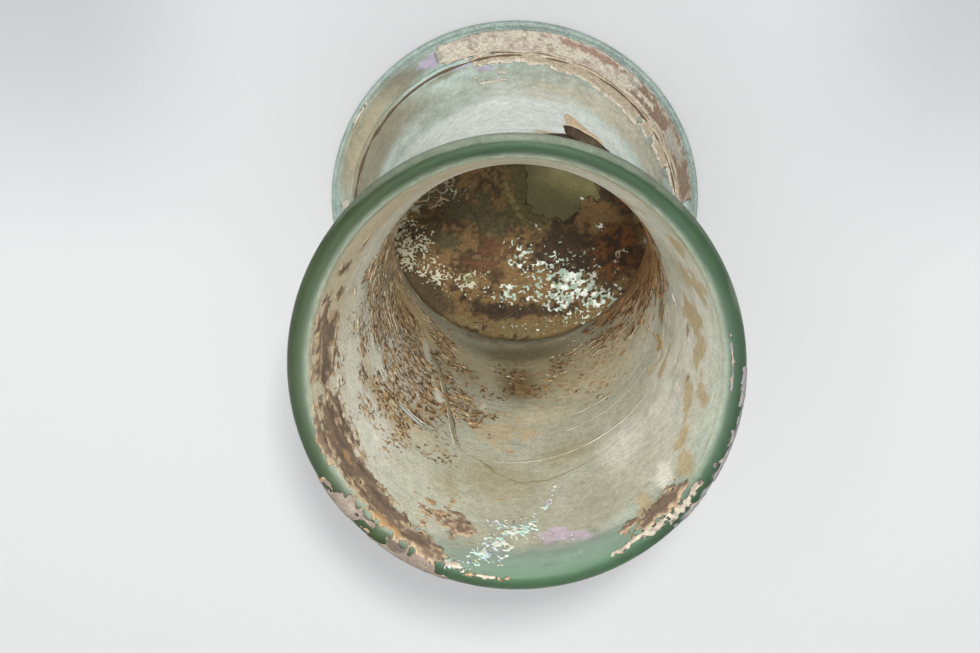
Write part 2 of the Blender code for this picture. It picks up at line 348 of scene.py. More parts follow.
def new_object(name, points, faces, material, values=None):
    """A smooth mesh object at the origin from points in mm, riding on the vessel's body."""
    mesh = bpy.data.meshes.new(name)
    mesh.from_pydata((np.asarray(points) * MM).tolist(), [], [list(f) for f in faces])
    mesh.materials.append(material)
    for key, value in (values or {}).items():
        value = np.asarray(value, np.float32)
        if value.size > len(points):
            mesh.attributes.new(key, "FLOAT_COLOR", "POINT").data.foreach_set("color", value.ravel())
        else:
            mesh.attributes.new(key, "FLOAT", "POINT").data.foreach_set("value", value.ravel())
    mesh.shade_smooth()
    mesh.update()
    piece = bpy.data.objects.new(name, mesh)
    bpy.context.scene.collection.objects.link(piece)
    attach(piece, BODY)
    return piece


def new_material(name):
    """A material and its tree, with a Principled shader already wired to the output."""
    material = bpy.data.materials.new(name)
    material.use_nodes = True
    return material, material.node_tree, material.node_tree.nodes["Principled BSDF"]


def add(tree, kind, sockets=None, **settings):
    """Adds one node. Settings go to its properties, and sockets take a value or another node's output."""
    made = tree.nodes.new("ShaderNode" + kind)
    for name, value in settings.items():
        setattr(made, name, value)
    for name, value in (sockets or {}).items():
        if isinstance(value, bpy.types.NodeSocket):
            tree.links.new(value, made.inputs[name])
        else:
            made.inputs[name].default_value = value
    return made


print("helpers ready")

# %% [markdown]
# ## The glass
# The wall is a closed surface, inside and outside in one, with the true thickness between them. Rows
# follow the outline, closer together where it bends, and columns go round. Both poles, in the middle of
# the floor and of the underside, are single points.

# %% Rows and columns of the glass
COLUMNS = 288
POLE_GAP = 0.4
FLOOR_STEP, CORNER_STEP, WALL_STEP, LIP_STEP, FOOT_STEP, UNDER_STEP = 1.3, 0.35, 0.95, 0.36, 0.33, 1.2


def rows():
    """Lengths along the outline: about 1 mm apart, a third of that at the corner, the lip and the foot."""
    stretches = (
        (POLE_GAP, FLOOR_STEP), (CORNER_TOP - 4, CORNER_STEP), (CORNER_TOP + 1, WALL_STEP),
        (LIP_TOP - 4, LIP_STEP), (LIP_TOP + 6, WALL_STEP), (outside_at(BAND_TOP_HEIGHT + 1.2), FOOT_STEP),
        (FOOT_EDGE + 2.5, UNDER_STEP),
    )
    starts, steps = zip(*stretches)
    ends = (*starts[1:], END - POLE_GAP)
    return np.concatenate([np.arange(a, b, h) for a, b, h in zip(starts, ends, steps)])


def quads(row_count, column_count, wrap):
    """Corner numbers of a grid's faces, first along the outline and then round, so they face outwards."""
    i = np.arange(row_count - 1)[:, None]
    j = np.arange(column_count if wrap else column_count - 1)[None, :]
    k = (j + 1) % column_count
    here, ahead = i * column_count, (i + 1) * column_count
    corners = np.broadcast_arrays(here + j, ahead + j, ahead + k, here + k)
    return np.stack(corners, -1).reshape(-1, 4)


def vessel_mesh():
    """Points and faces of the whole closed vessel."""
    angles = np.linspace(0, 2 * np.pi, COLUMNS, endpoint=False)
    s = rows()
    grid = place(angles[None, :], s[:, None])
    poles = [place(0.0, 0.0), place(0.0, END)]
    poles[0][:2] = grid[0, :, :2].mean(0)
    poles[1][:2] = grid[-1, :, :2].mean(0)
    points = np.vstack([grid.reshape(-1, 3), poles])
    j = np.arange(COLUMNS)
    k = (j + 1) % COLUMNS
    last = (len(s) - 1) * COLUMNS
    top = np.stack([j, k, np.full_like(j, len(points) - 2)], -1)
    bottom = np.stack([last + k, last + j, np.full_like(j, len(points) - 1)], -1)
    return points, quads(len(s), COLUMNS, True).tolist() + top.tolist() + bottom.tolist()


glass_points, glass_faces = vessel_mesh()
print("glass: %d rows, %d points" % (len(rows()), len(glass_points)))

# %% [markdown]
# ## The break and the open crack
# A thrown stone or the weight of the soil broke a piece out of the wall, and a crack opened in two
# places. Each gap is an outline on the wall. A plug with that outline is pushed through the glass and
# cut away with a Boolean modifier, which leaves square, sharp edges, as glass does when it breaks. The
# outline of the break is given in shares of its width and height, and then splintered by noise.

# %% Outlines of the gaps
BREAK_ANGLE, BREAK_HEIGHT, BREAK_WIDTH, BREAK_TALL = math.radians(61.0), 43.0, 17.0, 21.0
CRACK_HEIGHT, CRACK_GAP = 69.2, 0.8
CRACK_FRONT_ANGLE, CRACK_FRONT_LENGTH = math.radians(-134.0), 9.0
CRACK_SIDE_ANGLE, CRACK_SIDE_LENGTH, CRACK_SIDE_SLANT = math.radians(6.5), 3.4, math.radians(-42.0)
CUT_REACH = 4.25
SPLINTER_STEP, SPLINTER_DEPTH, SPLINTER_SIZE = 0.7, 0.22, 1.6
LENS_POINTS = 13
BREAK_SHARES = (
    (-0.50, 0.12), (-0.43, 0.06), (-0.33, -0.02), (-0.21, -0.12), (-0.225, -0.42), (-0.105, -0.50),
    (0.01, -0.45), (0.16, -0.455), (0.24, -0.37), (0.37, -0.32), (0.50, -0.18), (0.45, 0.04), (0.36, 0.24),
    (0.18, 0.30), (0.05, 0.50), (-0.18, 0.36), (-0.32, 0.40),
)


def splintered(outline, seed):
    """The outline with a point at each step, every one moved by noise, as glass that broke in splinters."""
    closed = np.vstack([outline, outline[:1]])
    along = np.r_[0, np.cumsum(np.hypot(*np.diff(closed, axis=0).T))]
    at = np.arange(0, along[-1], SPLINTER_STEP)
    points = np.c_[np.interp(at, along, closed[:, 0]), np.interp(at, along, closed[:, 1])]
    flat = np.c_[points, np.zeros(len(points))]
    moved = np.c_[ragged(flat, SPLINTER_SIZE, 2, seed), ragged(flat, SPLINTER_SIZE, 2, seed + 9)]
    return points + SPLINTER_DEPTH * moved


def lens_outline(length, gap, slant):
    """A lens, pointed at both ends, turned by its slant."""
    x = np.linspace(-0.5, 0.5, LENS_POINTS)
    upper = np.c_[x * length, gap / 2 * np.cos(np.pi * x)]
    lower = upper[::-1][1:-1] * (1, -1)
    c, s = math.cos(slant), math.sin(slant)
    return np.vstack([upper, lower]) @ np.array([[c, s], [-s, c]])


break_outline = np.array([(-x * BREAK_WIDTH, y * BREAK_TALL) for x, y in BREAK_SHARES])
GAPS = (
    ("break", splintered(break_outline, 5), BREAK_ANGLE, BREAK_HEIGHT),
    ("crack_front", lens_outline(CRACK_FRONT_LENGTH, CRACK_GAP, 0.0), CRACK_FRONT_ANGLE, CRACK_HEIGHT),
    ("crack_side", lens_outline(CRACK_SIDE_LENGTH, CRACK_GAP, CRACK_SIDE_SLANT), CRACK_SIDE_ANGLE,
     CRACK_HEIGHT),
)
print("gaps:", [(name, len(outline)) for name, outline, _, _ in GAPS])

# %% [markdown]
# ## Cutting with plugs
# Each plug is a prism through the wall, from a little way inside it to a little way outside. Its faces
# have to point outwards for the cut to work, so they are turned round where the outline runs clockwise.
# The modifiers are read once, the cut glass becomes a mesh of its own, and the plugs are removed.

# %% Cut the gaps out of the glass


def plug(name, outline, angle, height):
    """A closed prism: the outline near the axis and again outside the wall, joined by quads, with caps."""
    middle = (inner_radius(height) + outer_radius(height)) / 2
    out = np.array([math.cos(angle), math.sin(angle), 0])
    along = np.array([-math.sin(angle), math.cos(angle), 0])
    flat = outline[:, :1] * along + outline[:, 1:] * np.array([0, 0, 1]) + np.array([0, 0, height])
    near, far = flat + out * (middle - CUT_REACH), flat + out * (middle + CUT_REACH)
    n = len(outline)
    i = np.arange(n)
    k = (i + 1) % n
    mesh = bpy.data.meshes.new(name)
    sides = np.stack([i, k, k + n, i + n], -1).tolist()
    mesh.from_pydata((np.vstack([near, far]) * MM).tolist(), [], sides + [i[::-1].tolist(), (i + n).tolist()])
    mesh.validate()
    cutter = bpy.data.objects.new(name, mesh)
    bpy.context.scene.collection.objects.link(cutter)
    double_area = sum(x * y2 - x2 * y for (x, y), (x2, y2) in zip(outline, np.roll(outline, -1, 0)))
    if double_area < 0:
        mesh.flip_normals()
    return cutter


def cut_glass(points, faces):
    """The glass as a mesh with every gap cut through it."""
    mesh = bpy.data.meshes.new("glass")
    mesh.from_pydata((points * MM).tolist(), [], faces)
    body = bpy.data.objects.new("glass", mesh)
    bpy.context.scene.collection.objects.link(body)
    cutters = [plug(*gap) for gap in GAPS]
    for cutter in cutters:
        modifier = body.modifiers.new(cutter.name, "BOOLEAN")
        modifier.operation, modifier.solver, modifier.object = "DIFFERENCE", "EXACT", cutter
    graph = bpy.context.evaluated_depsgraph_get()
    done = bpy.data.meshes.new_from_object(body.evaluated_get(graph))
    for extra in (body, *cutters):
        bpy.data.objects.remove(extra, do_unlink=True)
    return done


cut = cut_glass(glass_points, glass_faces)
print("glass with its gaps: %d faces" % len(cut.polygons))

# %% [markdown]
# ## How far from a gap
# The broken edges are painted dark, partly as soil and partly as painted shade, and film and crust stop short
# of them, so every later step asks how far a point lies from the nearest gap. The gap's outline lies in a
# plane that touches the wall, so the distance is measured there, edge by edge.

# %% Distance to the gaps
GAP_MARGIN, FAR = 0.12, 30.0
GAP_REACH = 16.0


def outline_distance(flat, outline):
    """Distance in mm to a closed outline, negative inside: nearest edge, and inside by odd crossings."""
    best, inside = np.full(len(flat), FAR), np.zeros(len(flat), bool)
    for p, q in zip(outline, np.roll(outline, -1, 0)):
        edge = q - p
        share = np.clip((flat - p) @ edge / (edge @ edge), 0, 1)
        best = np.minimum(best, np.hypot(*(flat - p - share[:, None] * edge).T))
        crosses = (p[1] > flat[:, 1]) != (q[1] > flat[:, 1])
        level = np.where(abs(edge[1]) > 1e-9, edge[1], 1e-9)
        inside ^= crosses & (flat[:, 0] < p[0] + (flat[:, 1] - p[1]) / level * edge[0])
    return np.where(inside, -best, best)


def gap_distance(points, gaps=GAPS):
    """Distance in mm from the nearest of some gaps, negative inside one."""
    listed = points.reshape(-1, 3)
    result = np.full(len(listed), FAR)
    for _, outline, angle, height in gaps:
        out = np.array([math.cos(angle), math.sin(angle)])
        along = np.array([-math.sin(angle), math.cos(angle)])
        flat = np.c_[listed[:, :2] @ along, listed[:, 2] - height]
        near = (listed[:, :2] @ out > 0) & (np.abs(flat).max(1) < GAP_REACH)
        result[near] = np.minimum(result[near], outline_distance(flat[near], outline))
    return result.reshape(points.shape[:-1])


middle_of_break = place(BREAK_ANGLE, outside_at(BREAK_HEIGHT))[None]
print("distance to the gaps from the middle of the break: %.2f mm" % gap_distance(middle_of_break)[0])

# %% [markdown]
# ## Blue-green glass
# Iron in the sand makes ancient glass blue-green. A thin wall hardly shows it, but light that runs along
# the thick lip comes out dark green. The shader is a plain transmitting one, with the refraction of
# soda-lime glass, and the depth of the green comes from a value stored at each point: how thick the
# glass is there. The left side of the lip is stained olive, which a second value tells. Long burial has
# etched the glass, so it is satin and not polished, and what it reflects is tinted by the glass too.

# %% Glass material
GLASS_IOR = 1.52
GLASS_TRANSMISSION, GLASS_SHINE = 0.93, 0.03
EDGE_REACH = 0.08
LIP_GREEN, LIP_OLIVE, WALL_TINT, EDGE_SOIL_AND_SHADE, REFLECTED = "#608b60", "#667b42", "#e2f1e8", "#4f3010", "#8fa893"
ETCH_SIZE, SATIN_FROM, SATIN_TO = 3.0, 0.38, 0.50
CREST_ACROSS, CREST_FROM, CREST_FULL = 1.7, 3.6, 0.8
LIP_DEPTH, SIDE_DEPTH, BREAK_SIDE_DEPTH = 0.85, 0.07, 0.03
CREST_SHARE, BELOW_FROM, BELOW_FULL = 0.62, 9.0, 1.0
OLIVE_CLOUD, SHARP_ANGLE = 5.0, math.radians(50)


def glass_material():
    """Soda-lime glass, blown and weathered: green where it is thick, olive at the left, and satin."""
    material, tree, shader = new_material("blown_soda_lime_glass_weathered")
    where = add(tree, "TexCoord")
    depth = add(tree, "Attribute", attribute_name="depth")
    olive = add(tree, "Attribute", attribute_name="olive")
    green = add(tree, "Mix", {"Factor": olive.outputs["Fac"], A_COLOUR: colour(LIP_GREEN),
                              B_COLOUR: colour(LIP_OLIVE)}, data_type="RGBA")
    tint = add(tree, "Mix", {"Factor": depth.outputs["Fac"], A_COLOUR: colour(WALL_TINT),
                             B_COLOUR: green.outputs[RESULT]}, data_type="RGBA")
    # The soil value tints the glass dark right at the break: partly soil, and partly painted shade for the
    # dark inside seen through the break.
    soil = add(tree, "Attribute", attribute_name="soil")
    tint = add(tree, "Mix", {"Factor": soil.outputs["Fac"], A_COLOUR: tint.outputs[RESULT],
                             B_COLOUR: colour(EDGE_SOIL_AND_SHADE)}, data_type="RGBA")
    etched = add(tree, "TexNoise", {"Vector": where.outputs["Object"], "Scale": 1 / (ETCH_SIZE * MM),
                                    "Detail": 3.0})
    rough = add(tree, "MapRange", {"Value": etched.outputs["Fac"], "To Min": SATIN_FROM, "To Max": SATIN_TO})
    shader.inputs["IOR"].default_value = GLASS_IOR
    shader.inputs["Transmission Weight"].default_value = GLASS_TRANSMISSION
    shader.inputs["Specular IOR Level"].default_value = GLASS_SHINE
    shader.inputs["Specular Tint"].default_value = colour(REFLECTED)
    tree.links.new(tint.outputs[RESULT], shader.inputs["Base Color"])
    tree.links.new(rough.outputs["Result"], shader.inputs["Roughness"])
    return material


def thickness(points):
    """Most in the crest and the outer half of the thick lip, falling to 0 on the thin wall.

    It is a little more towards the break and away from it, where the lip is thickest.
    """
    r = np.hypot(points[:, 0], points[:, 1] / (MOUTH_LENGTH / MOUTH_WIDTH))
    across_lip = r - (MOUTH_WIDTH / 2 - LIP_RADIUS)
    crest = soft(across_lip, -CREST_ACROSS, 0.0) * soft(
        points[:, 2], LIP_HEIGHT - CREST_FROM, LIP_HEIGHT - CREST_FULL)
    facing = points[:, 1] / np.maximum(r, 1.0)
    most = LIP_DEPTH + SIDE_DEPTH * soft(np.abs(facing), 0.2, 0.9) + BREAK_SIDE_DEPTH * soft(facing, 0.0, 0.8)
    below = soft(points[:, 2], LIP_HEIGHT - BELOW_FROM, LIP_HEIGHT - BELOW_FULL)
    return most * (CREST_SHARE * crest + (1 - CREST_SHARE) * below)


def olive_side(points):
    """How olive the lip is: fully on the left, where the glass is stained, not on the right, with clouds."""
    leftward = soft(-points[:, 0] / MOUTH_INNER_RADIUS, 0.1, 0.75)
    return np.clip(leftward + 0.35 * noise(points, OLIVE_CLOUD, 57), 0, 1)


glass = bpy.data.objects.new("glass_body", cut)
bpy.context.scene.collection.objects.link(glass)
glass_at = np.empty(len(cut.vertices) * 3)
cut.vertices.foreach_get("co", glass_at)
glass_at = glass_at.reshape(-1, 3) / MM
# Points right at the break, where the glass takes the dark tint of soil and painted shade.
soiled_and_shaded = gap_distance(glass_at, GAPS[:1]) < EDGE_REACH
for key, value in (("depth", thickness(glass_at)), ("soil", soiled_and_shaded), ("olive", olive_side(glass_at))):
    cut.attributes.new(key, "FLOAT", "POINT").data.foreach_set("value", value.astype(np.float32))
cut.materials.clear()
cut.materials.append(glass_material())
cut.shade_smooth()
cut.set_sharp_from_angle(angle=SHARP_ANGLE)
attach(glass, BODY)
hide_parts(NODE)
print("glass body: %d triangles" % sum(len(p.vertices) - 2 for p in cut.polygons))

# %% [markdown]
# ## A sheet that lies on the glass
# Film, crust and flakes are all the same kind of shape: a thin sheet that follows the glass and stops
# at a ragged line. Its grid runs over the wall by angle and length, or over the floor by x and y. A
# field says how well each point is covered. Cells with no covered corner are dropped, and the points
# just outside the line slide onto it, up the slope of the field, so that the edge runs smoothly and not
# in steps. A crust is closed by a second sheet under it, which meets the first along that edge.

# %% Grids on the wall and on the floor
LONGEST_SLIDE, FLATTEST = 0.8, 1e-9
EDGE_HEIGHT = 0.01


def wall_grid(degrees, stations, cell):
    """Columns are angles in radians and rows are lengths, cell mm apart. A full turn joins its start."""
    start, end = np.radians(degrees)
    full = end - start > 2 * np.pi - 1e-6
    radius = np.interp(np.mean(stations), LENGTH, RADIUS)
    columns = np.linspace(start, end, max(4, round((end - start) * radius / cell)), endpoint=not full)
    rows_at = np.linspace(*stations, max(4, round(abs(stations[1] - stations[0]) / cell)))
    return (lambda column, row: (column, row)), columns, rows_at, full


def floor_grid(half, cell):
    """Columns are y and rows are x from the middle of the hollow, so the sheet faces up.

    The floor is so flat that the distance from its middle is the length along the outline.
    """
    run = np.linspace(-half, half, round(2 * half / cell))
    return (lambda column, row: (np.arctan2(column, row), np.hypot(column, row))), run, run, False


def slid_to_edge(field, full):
    """Steps in cells that take each uncovered point up the field's slope to the line where it is zero."""
    round_slope = (np.roll(field, -1, 1) - np.roll(field, 1, 1)) / 2 if full else np.gradient(field, axis=1)
    along_slope = np.gradient(field, axis=0)
    steep = np.maximum(round_slope**2 + along_slope**2, FLATTEST)
    slides = [np.clip(-field * slope / steep, -LONGEST_SLIDE, LONGEST_SLIDE)
              for slope in (round_slope, along_slope)]
    return [np.where(field < 0, slide, 0.0) for slide in slides]


def sheet(name, span, field, lift, material, values, rise=None):
    """A sheet on the glass, lift mm above it. With rise it is a closed crust of that height.

    span is a grid. field(at, angle, s) is above zero where the sheet is. rise(at, cover) is in mm, and
    values(at, angle, s, cover) gives what the material reads at each point.
    """
    chart, columns, rows_at, full = span
    column, row = np.meshgrid(columns, rows_at)
    angle, s = chart(column, row)
    at = place(angle, s)
    cover = np.minimum(field(at, angle, s), gap_distance(at) - GAP_MARGIN)
    step_round, step_along = slid_to_edge(cover, full)
    column = column + step_round * (columns[1] - columns[0])
    row = row + step_along * (rows_at[1] - rows_at[0])
    angle, s = chart(column, row)
    faces = quads(len(rows_at), len(columns), full)
    faces = faces[(cover.ravel()[faces] > 0).any(1)]
    at = place(angle, s)
    told = values(at, angle, s, cover)
    if rise is None:
        layers, hidden = [place(angle, s, lift)], np.empty((0, 4), int)
    else:
        rim = cover <= 0
        rim[[0, -1]] = True
        if not full:
            rim[:, [0, -1]] = True
        layers = [place(angle, s, lift + np.where(rim, 0.0, rise(at, cover))), place(angle, s, lift)]
        under = np.where(rim.ravel(), 0, rim.size) + np.arange(rim.size)
        hidden = under[faces][:, ::-1]
    points = np.concatenate([layer.reshape(-1, 3) for layer in layers])
    used, faces = np.unique(np.concatenate([faces, hidden]), return_inverse=True)
    told = {key: np.concatenate([np.asarray(value).reshape(s.size, -1)] * len(layers))[used]
            for key, value in told.items()}
    return new_object(name, points[used], faces.reshape(-1, 4).tolist(), material, told)


print("grids ready")

# %% [markdown]
# ## Placing and painting patches
# Every patch on the glass is listed as a soft oval: its angle and height, its half width and half height in
# millimetres, its tilt and its strength. Ovals that overlap make longer shapes, and noise makes their outline
# ragged. Colours are blended point by point from a small palette by the same ovals.

# %% Ovals and colours
ARC_RADIUS = 27.0
TURN = 2 * np.pi * ARC_RADIUS
IN, OUT = inside_at, outside_at


def ovals(x, y, spots, turn=None):
    """The highest of several ovals: its strength in the middle, 1 less on its outline, and never under -1.

    A spot is its place across and up, its half width and half height, a tilt in degrees, which may be
    left out, and its strength.
    """
    best = np.full(np.shape(x), -1.0)
    for across_at, up_at, wide, tall, *tilt, strength in spots:
        dx = x - across_at
        if turn:
            dx = (dx + turn / 2) % turn - turn / 2
        turned = math.radians(sum(tilt))
        c, n = math.cos(turned), math.sin(turned)
        dy = y - up_at
        best = np.maximum(best, strength - np.hypot((dx * c + dy * n) / wide, (-dx * n + dy * c) / tall))
    return best


def on_wall(angle, s, spots):
    """Ovals on the wall. A spot's first number is in degrees, and distance round is at one middle radius."""
    placed = [(math.radians(spot[0]) * ARC_RADIUS, *spot[1:]) for spot in spots]
    return ovals(angle * ARC_RADIUS, s, placed, TURN)


def on_floor(at, spots):
    """Ovals on the floor, by x and y from the middle of the hollow."""
    return ovals(at[..., 0] - HOLLOW_OFFSET, at[..., 1], spots)


def bars(angle, s, boxes):
    """Upright boxes (degrees, degrees, length, length): mm in from the nearest side of the best one."""
    best = np.full(np.shape(s), -FAR)
    for left, right, low, high in boxes:
        from_left, from_right = angle - math.radians(left), math.radians(right) - angle
        sides = [from_left * ARC_RADIUS, from_right * ARC_RADIUS, s - low, high - s]
        best = np.maximum(best, np.minimum.reduce(sides))
    return best


def in_outline(angle, s, corners):
    """Millimetres inside an outline on the wall, whose corners are (degrees, length)."""
    outline = np.array([(math.radians(degrees) * ARC_RADIUS, at) for degrees, at in corners])
    flat = np.stack([angle * ARC_RADIUS, s], -1).reshape(-1, 2)
    return -outline_distance(flat, outline).reshape(np.shape(s))


def mixed(first, second, share):
    """Two colours, or arrays of them, blended point by point."""
    share = np.clip(share, 0, 1)[..., None]
    return np.asarray(first) * (1 - share) + np.asarray(second) * share


def everywhere(at, angle, s):
    """A field that covers the whole grid."""
    return np.ones(np.shape(s))


print("painting ready")

# %% [markdown]
# ## The milky film inside
# Water draws the alkali out of the glass and leaves a skin of silica, a few hundredths of a millimetre
# thick. It is sage to cream, matt, and half lets the glass show. Fine streaks in it follow the way the
# water ran. The film is one sheet from the floor's corner to the lip. Its ground colour, and how dense,
# streaked or rusty it is, is stored in its points, and the material adds what is finer than the grid:
# noises from 0.4 to 4.5 mm in size. Each mark on the film is such a noise, raised where the points say
# so, and cut off softly between two levels. Thicker film hides more of the glass, so it is less clear.

# %% Film material
CLOUD, MOTTLE, SPECKS = (4.5, 6.0, 0.6), (1.6, 6.0, 0.72), (1.1, 6.0, 0.68)
GRAIN, MESHES = (0.4, 3.0, 0.7), (0.8, 7.0, 0.72)
DARKEST_GRAIN, LIGHTEST_GRAIN, FILM_RELIEF, SILICA_IOR = 0.76, 1.24, 0.10, 1.45


def film_material(name, tints, streak_size, streak_tilt, roughness):
    """Matt silica skin: a ground read from the points, fine streaks drawn out by water, specks of rust.

    tints gives the colours called streak, glint, rust, net and net_dark. The points give stain, the
    ground colour, and cover, streak, rust and net from 0 to 1. streak_size is (round, up) in mm.
    """
    material, tree, shader = new_material(name)
    where = add(tree, "TexCoord").outputs["Object"]
    stain = add(tree, "Attribute", attribute_name="stain").outputs["Color"]
    cover, streak, rust, net = (add(tree, "Attribute", attribute_name=key).outputs["Fac"]
                                for key in ("cover", "streak", "rust", "net"))
    cloud, mottle, specks, grain, meshes = (
        add(tree, "TexNoise", {"Vector": where, "Scale": 1 / (size * MM), "Detail": detail,
                               "Roughness": finest}).outputs["Fac"]
        for size, detail, finest in (CLOUD, MOTTLE, SPECKS, GRAIN, MESHES))
    tipped = add(tree, "Mapping", {"Vector": where, "Rotation": (-math.radians(streak_tilt), 0.0, 0.0)})
    drawn = add(tree, "Mapping", {"Vector": tipped.outputs["Vector"], "Scale": (
        1 / (streak_size[0] * MM), 1 / (streak_size[0] * MM), 1 / (streak_size[1] * MM))})
    threads = add(tree, "TexNoise", {"Vector": drawn.outputs["Vector"], "Scale": 1.0, "Detail": 5.0,
                                     "Roughness": 0.65, "Distortion": 0.4}).outputs["Fac"]
    grained = add(tree, "Math", {0: grain, 1: 0.6, 2: mottle}, operation="MULTIPLY_ADD")
    light = add(tree, "MapRange", {"Value": grained.outputs[0], "From Min": 0.5, "From Max": 1.1,
                                   "To Min": DARKEST_GRAIN, "To Max": LIGHTEST_GRAIN})
    shaded = add(tree, "VectorMath", {0: stain, "Scale": light.outputs["Result"]}, operation="SCALE")
    ground = shaded.outputs["Vector"]
    speckled = add(tree, "Math", {0: mottle, 1: 0.25, 2: specks}, operation="MULTIPLY_ADD").outputs[0]
    darker = add(tree, "MapRange", {"Value": mottle, "From Min": 0.45, "From Max": 0.58},
                 interpolation_type="SMOOTHSTEP").outputs["Result"]
    net_tint = add(tree, "Mix", {"Factor": darker, A_COLOUR: tints["net"], B_COLOUR: tints["net_dark"]},
                   data_type="RGBA").outputs[RESULT]
    marks = (
        (streak, 0.35, threads, 0.80, 0.94, tints["streak"]),
        (streak, -0.30, threads, 0.16, 0.02, tints["glint"]),
        (rust, 0.20, speckled, 0.83, 0.94, tints["rust"]),
        (net, 0.30, meshes, 0.765, 0.80, net_tint),
    )
    for told, share, pattern, low, high, tint in marks:
        raised = add(tree, "Math", {0: told, 1: share, 2: pattern}, operation="MULTIPLY_ADD")
        mark = add(tree, "MapRange", {"Value": raised.outputs[0], "From Min": low, "From Max": high},
                   interpolation_type="SMOOTHSTEP").outputs["Result"]
        ground = add(tree, "Mix", {"Factor": mark, A_COLOUR: ground, B_COLOUR: tint},
                     data_type="RGBA").outputs[RESULT]
    tree.links.new(ground, shader.inputs["Base Color"])
    veil = cover
    for pattern, share in ((mark, 0.8), (threads, 0.15), (mottle, 0.3), (cloud, 0.35)):
        veil = add(tree, "Math", {0: pattern, 1: share, 2: veil}, operation="MULTIPLY_ADD").outputs[0]
    clear = add(tree, "MapRange", {"Value": veil, "From Min": 0.7, "From Max": 1.7},
                interpolation_type="SMOOTHSTEP")
    tree.links.new(clear.outputs["Result"], shader.inputs["Alpha"])
    relief = threads
    for pattern, share in ((mottle, 0.8), (grain, 0.6)):
        relief = add(tree, "Math", {0: pattern, 1: share, 2: relief}, operation="MULTIPLY_ADD").outputs[0]
    bump = add(tree, "Bump", {"Height": relief, "Strength": 1.0, "Distance": FILM_RELIEF * MM})
    tree.links.new(bump.outputs["Normal"], shader.inputs["Normal"])
    shader.inputs["Roughness"].default_value = roughness
    shader.inputs["IOR"].default_value = SILICA_IOR
    return material


print("film material ready")

# %% [markdown]
# ## Where the film changes
# The wall was read from the lip inwards. Broad drifts tint the ground: white where the film is thick,
# straw and beige near the lip, moss green near the floor. Sharper patches lie on them: cream and tan
# spots, amber beads and a lilac stain. The last lists say where water drew streaks, where rust speckles
# the film and where the film is thin. The half on the side of the break, which the camera sees at a
# flat angle, is plainer.

# %% Places on the inner wall
FILM_LIFT, EDGE_FADE = 0.05, 2.0
SAGE, WHITE, STRAW, BEIGE, CREAM, DULL = (
    colour(code) for code in ("#adad9a", "#cccabc", "#9f987d", "#bbaf93", "#b5a687", "#9b9884"))
TAN, AMBER, MOSS, DARK_MOSS, UMBER_FILM = (
    colour(code) for code in ("#ac9a76", "#a3844f", "#b0a684", "#7f7558", "#8b7754"))
MINT_FILM, LILAC, LIP_MINT = colour("#b9bfad"), colour("#aa9ba4"), colour("#a0ad96")
INNER_TINTS = {"streak": colour("#85795c"), "glint": colour("#c9c6b6"), "rust": colour("#a88459"),
               "net": colour("#a5865b"), "net_dark": colour("#5c4127")}
PALE_PLACES = [(-136.5, IN(42.5), 1.0, 4.6, -8, 1.2), (-161, IN(67.4), 2.4, 2.0, 1.2),
               (-157.5, IN(58), 0.9, 2.0, 1.0), (-126, IN(57.5), 0.8, 2.6, -20, 1.1),
               (-109, IN(53), 1.4, 2.6, 1.0), (-150, IN(55), 1.0, 1.2, 0.8)]
WALL_NET = [(-168, IN(54), 21, 18, 2.0), (-146, IN(55), 11, 16, 2.3), (-132, IN(46), 7, 20, 8, 1.6),
            (-128, IN(32), 8, 9, 1.5), (-114, IN(44), 7, 14, 1.35), (-150, IN(73), 10, 2.2, 1.4),
            (150, IN(44), 26, 22, 1.8), (90, IN(30), 30, 18, 1.7), (-91, IN(40), 9, 16, 1.35),
            (-72, IN(34), 10, 12, 1.1), (-48, IN(32), 9, 13, -15, 1.15), (-30, IN(42), 7, 6, 1.25),
            (-111, IN(58), 7, 8, 1.4), (-100, IN(48), 12, 10, 1.15), (-64, IN(48), 7, 8, 0.95),
            (-98, IN(16), 16, 4, 1.2), (-172, IN(90), 6, 7, 1.0), (-160, IN(80), 12, 7, 0.85),
            (-118, IN(88), 8, 5, 0.9), (-55, IN(57), 5, 8, 0.85), (15, IN(40), 18, 20, 1.6)]
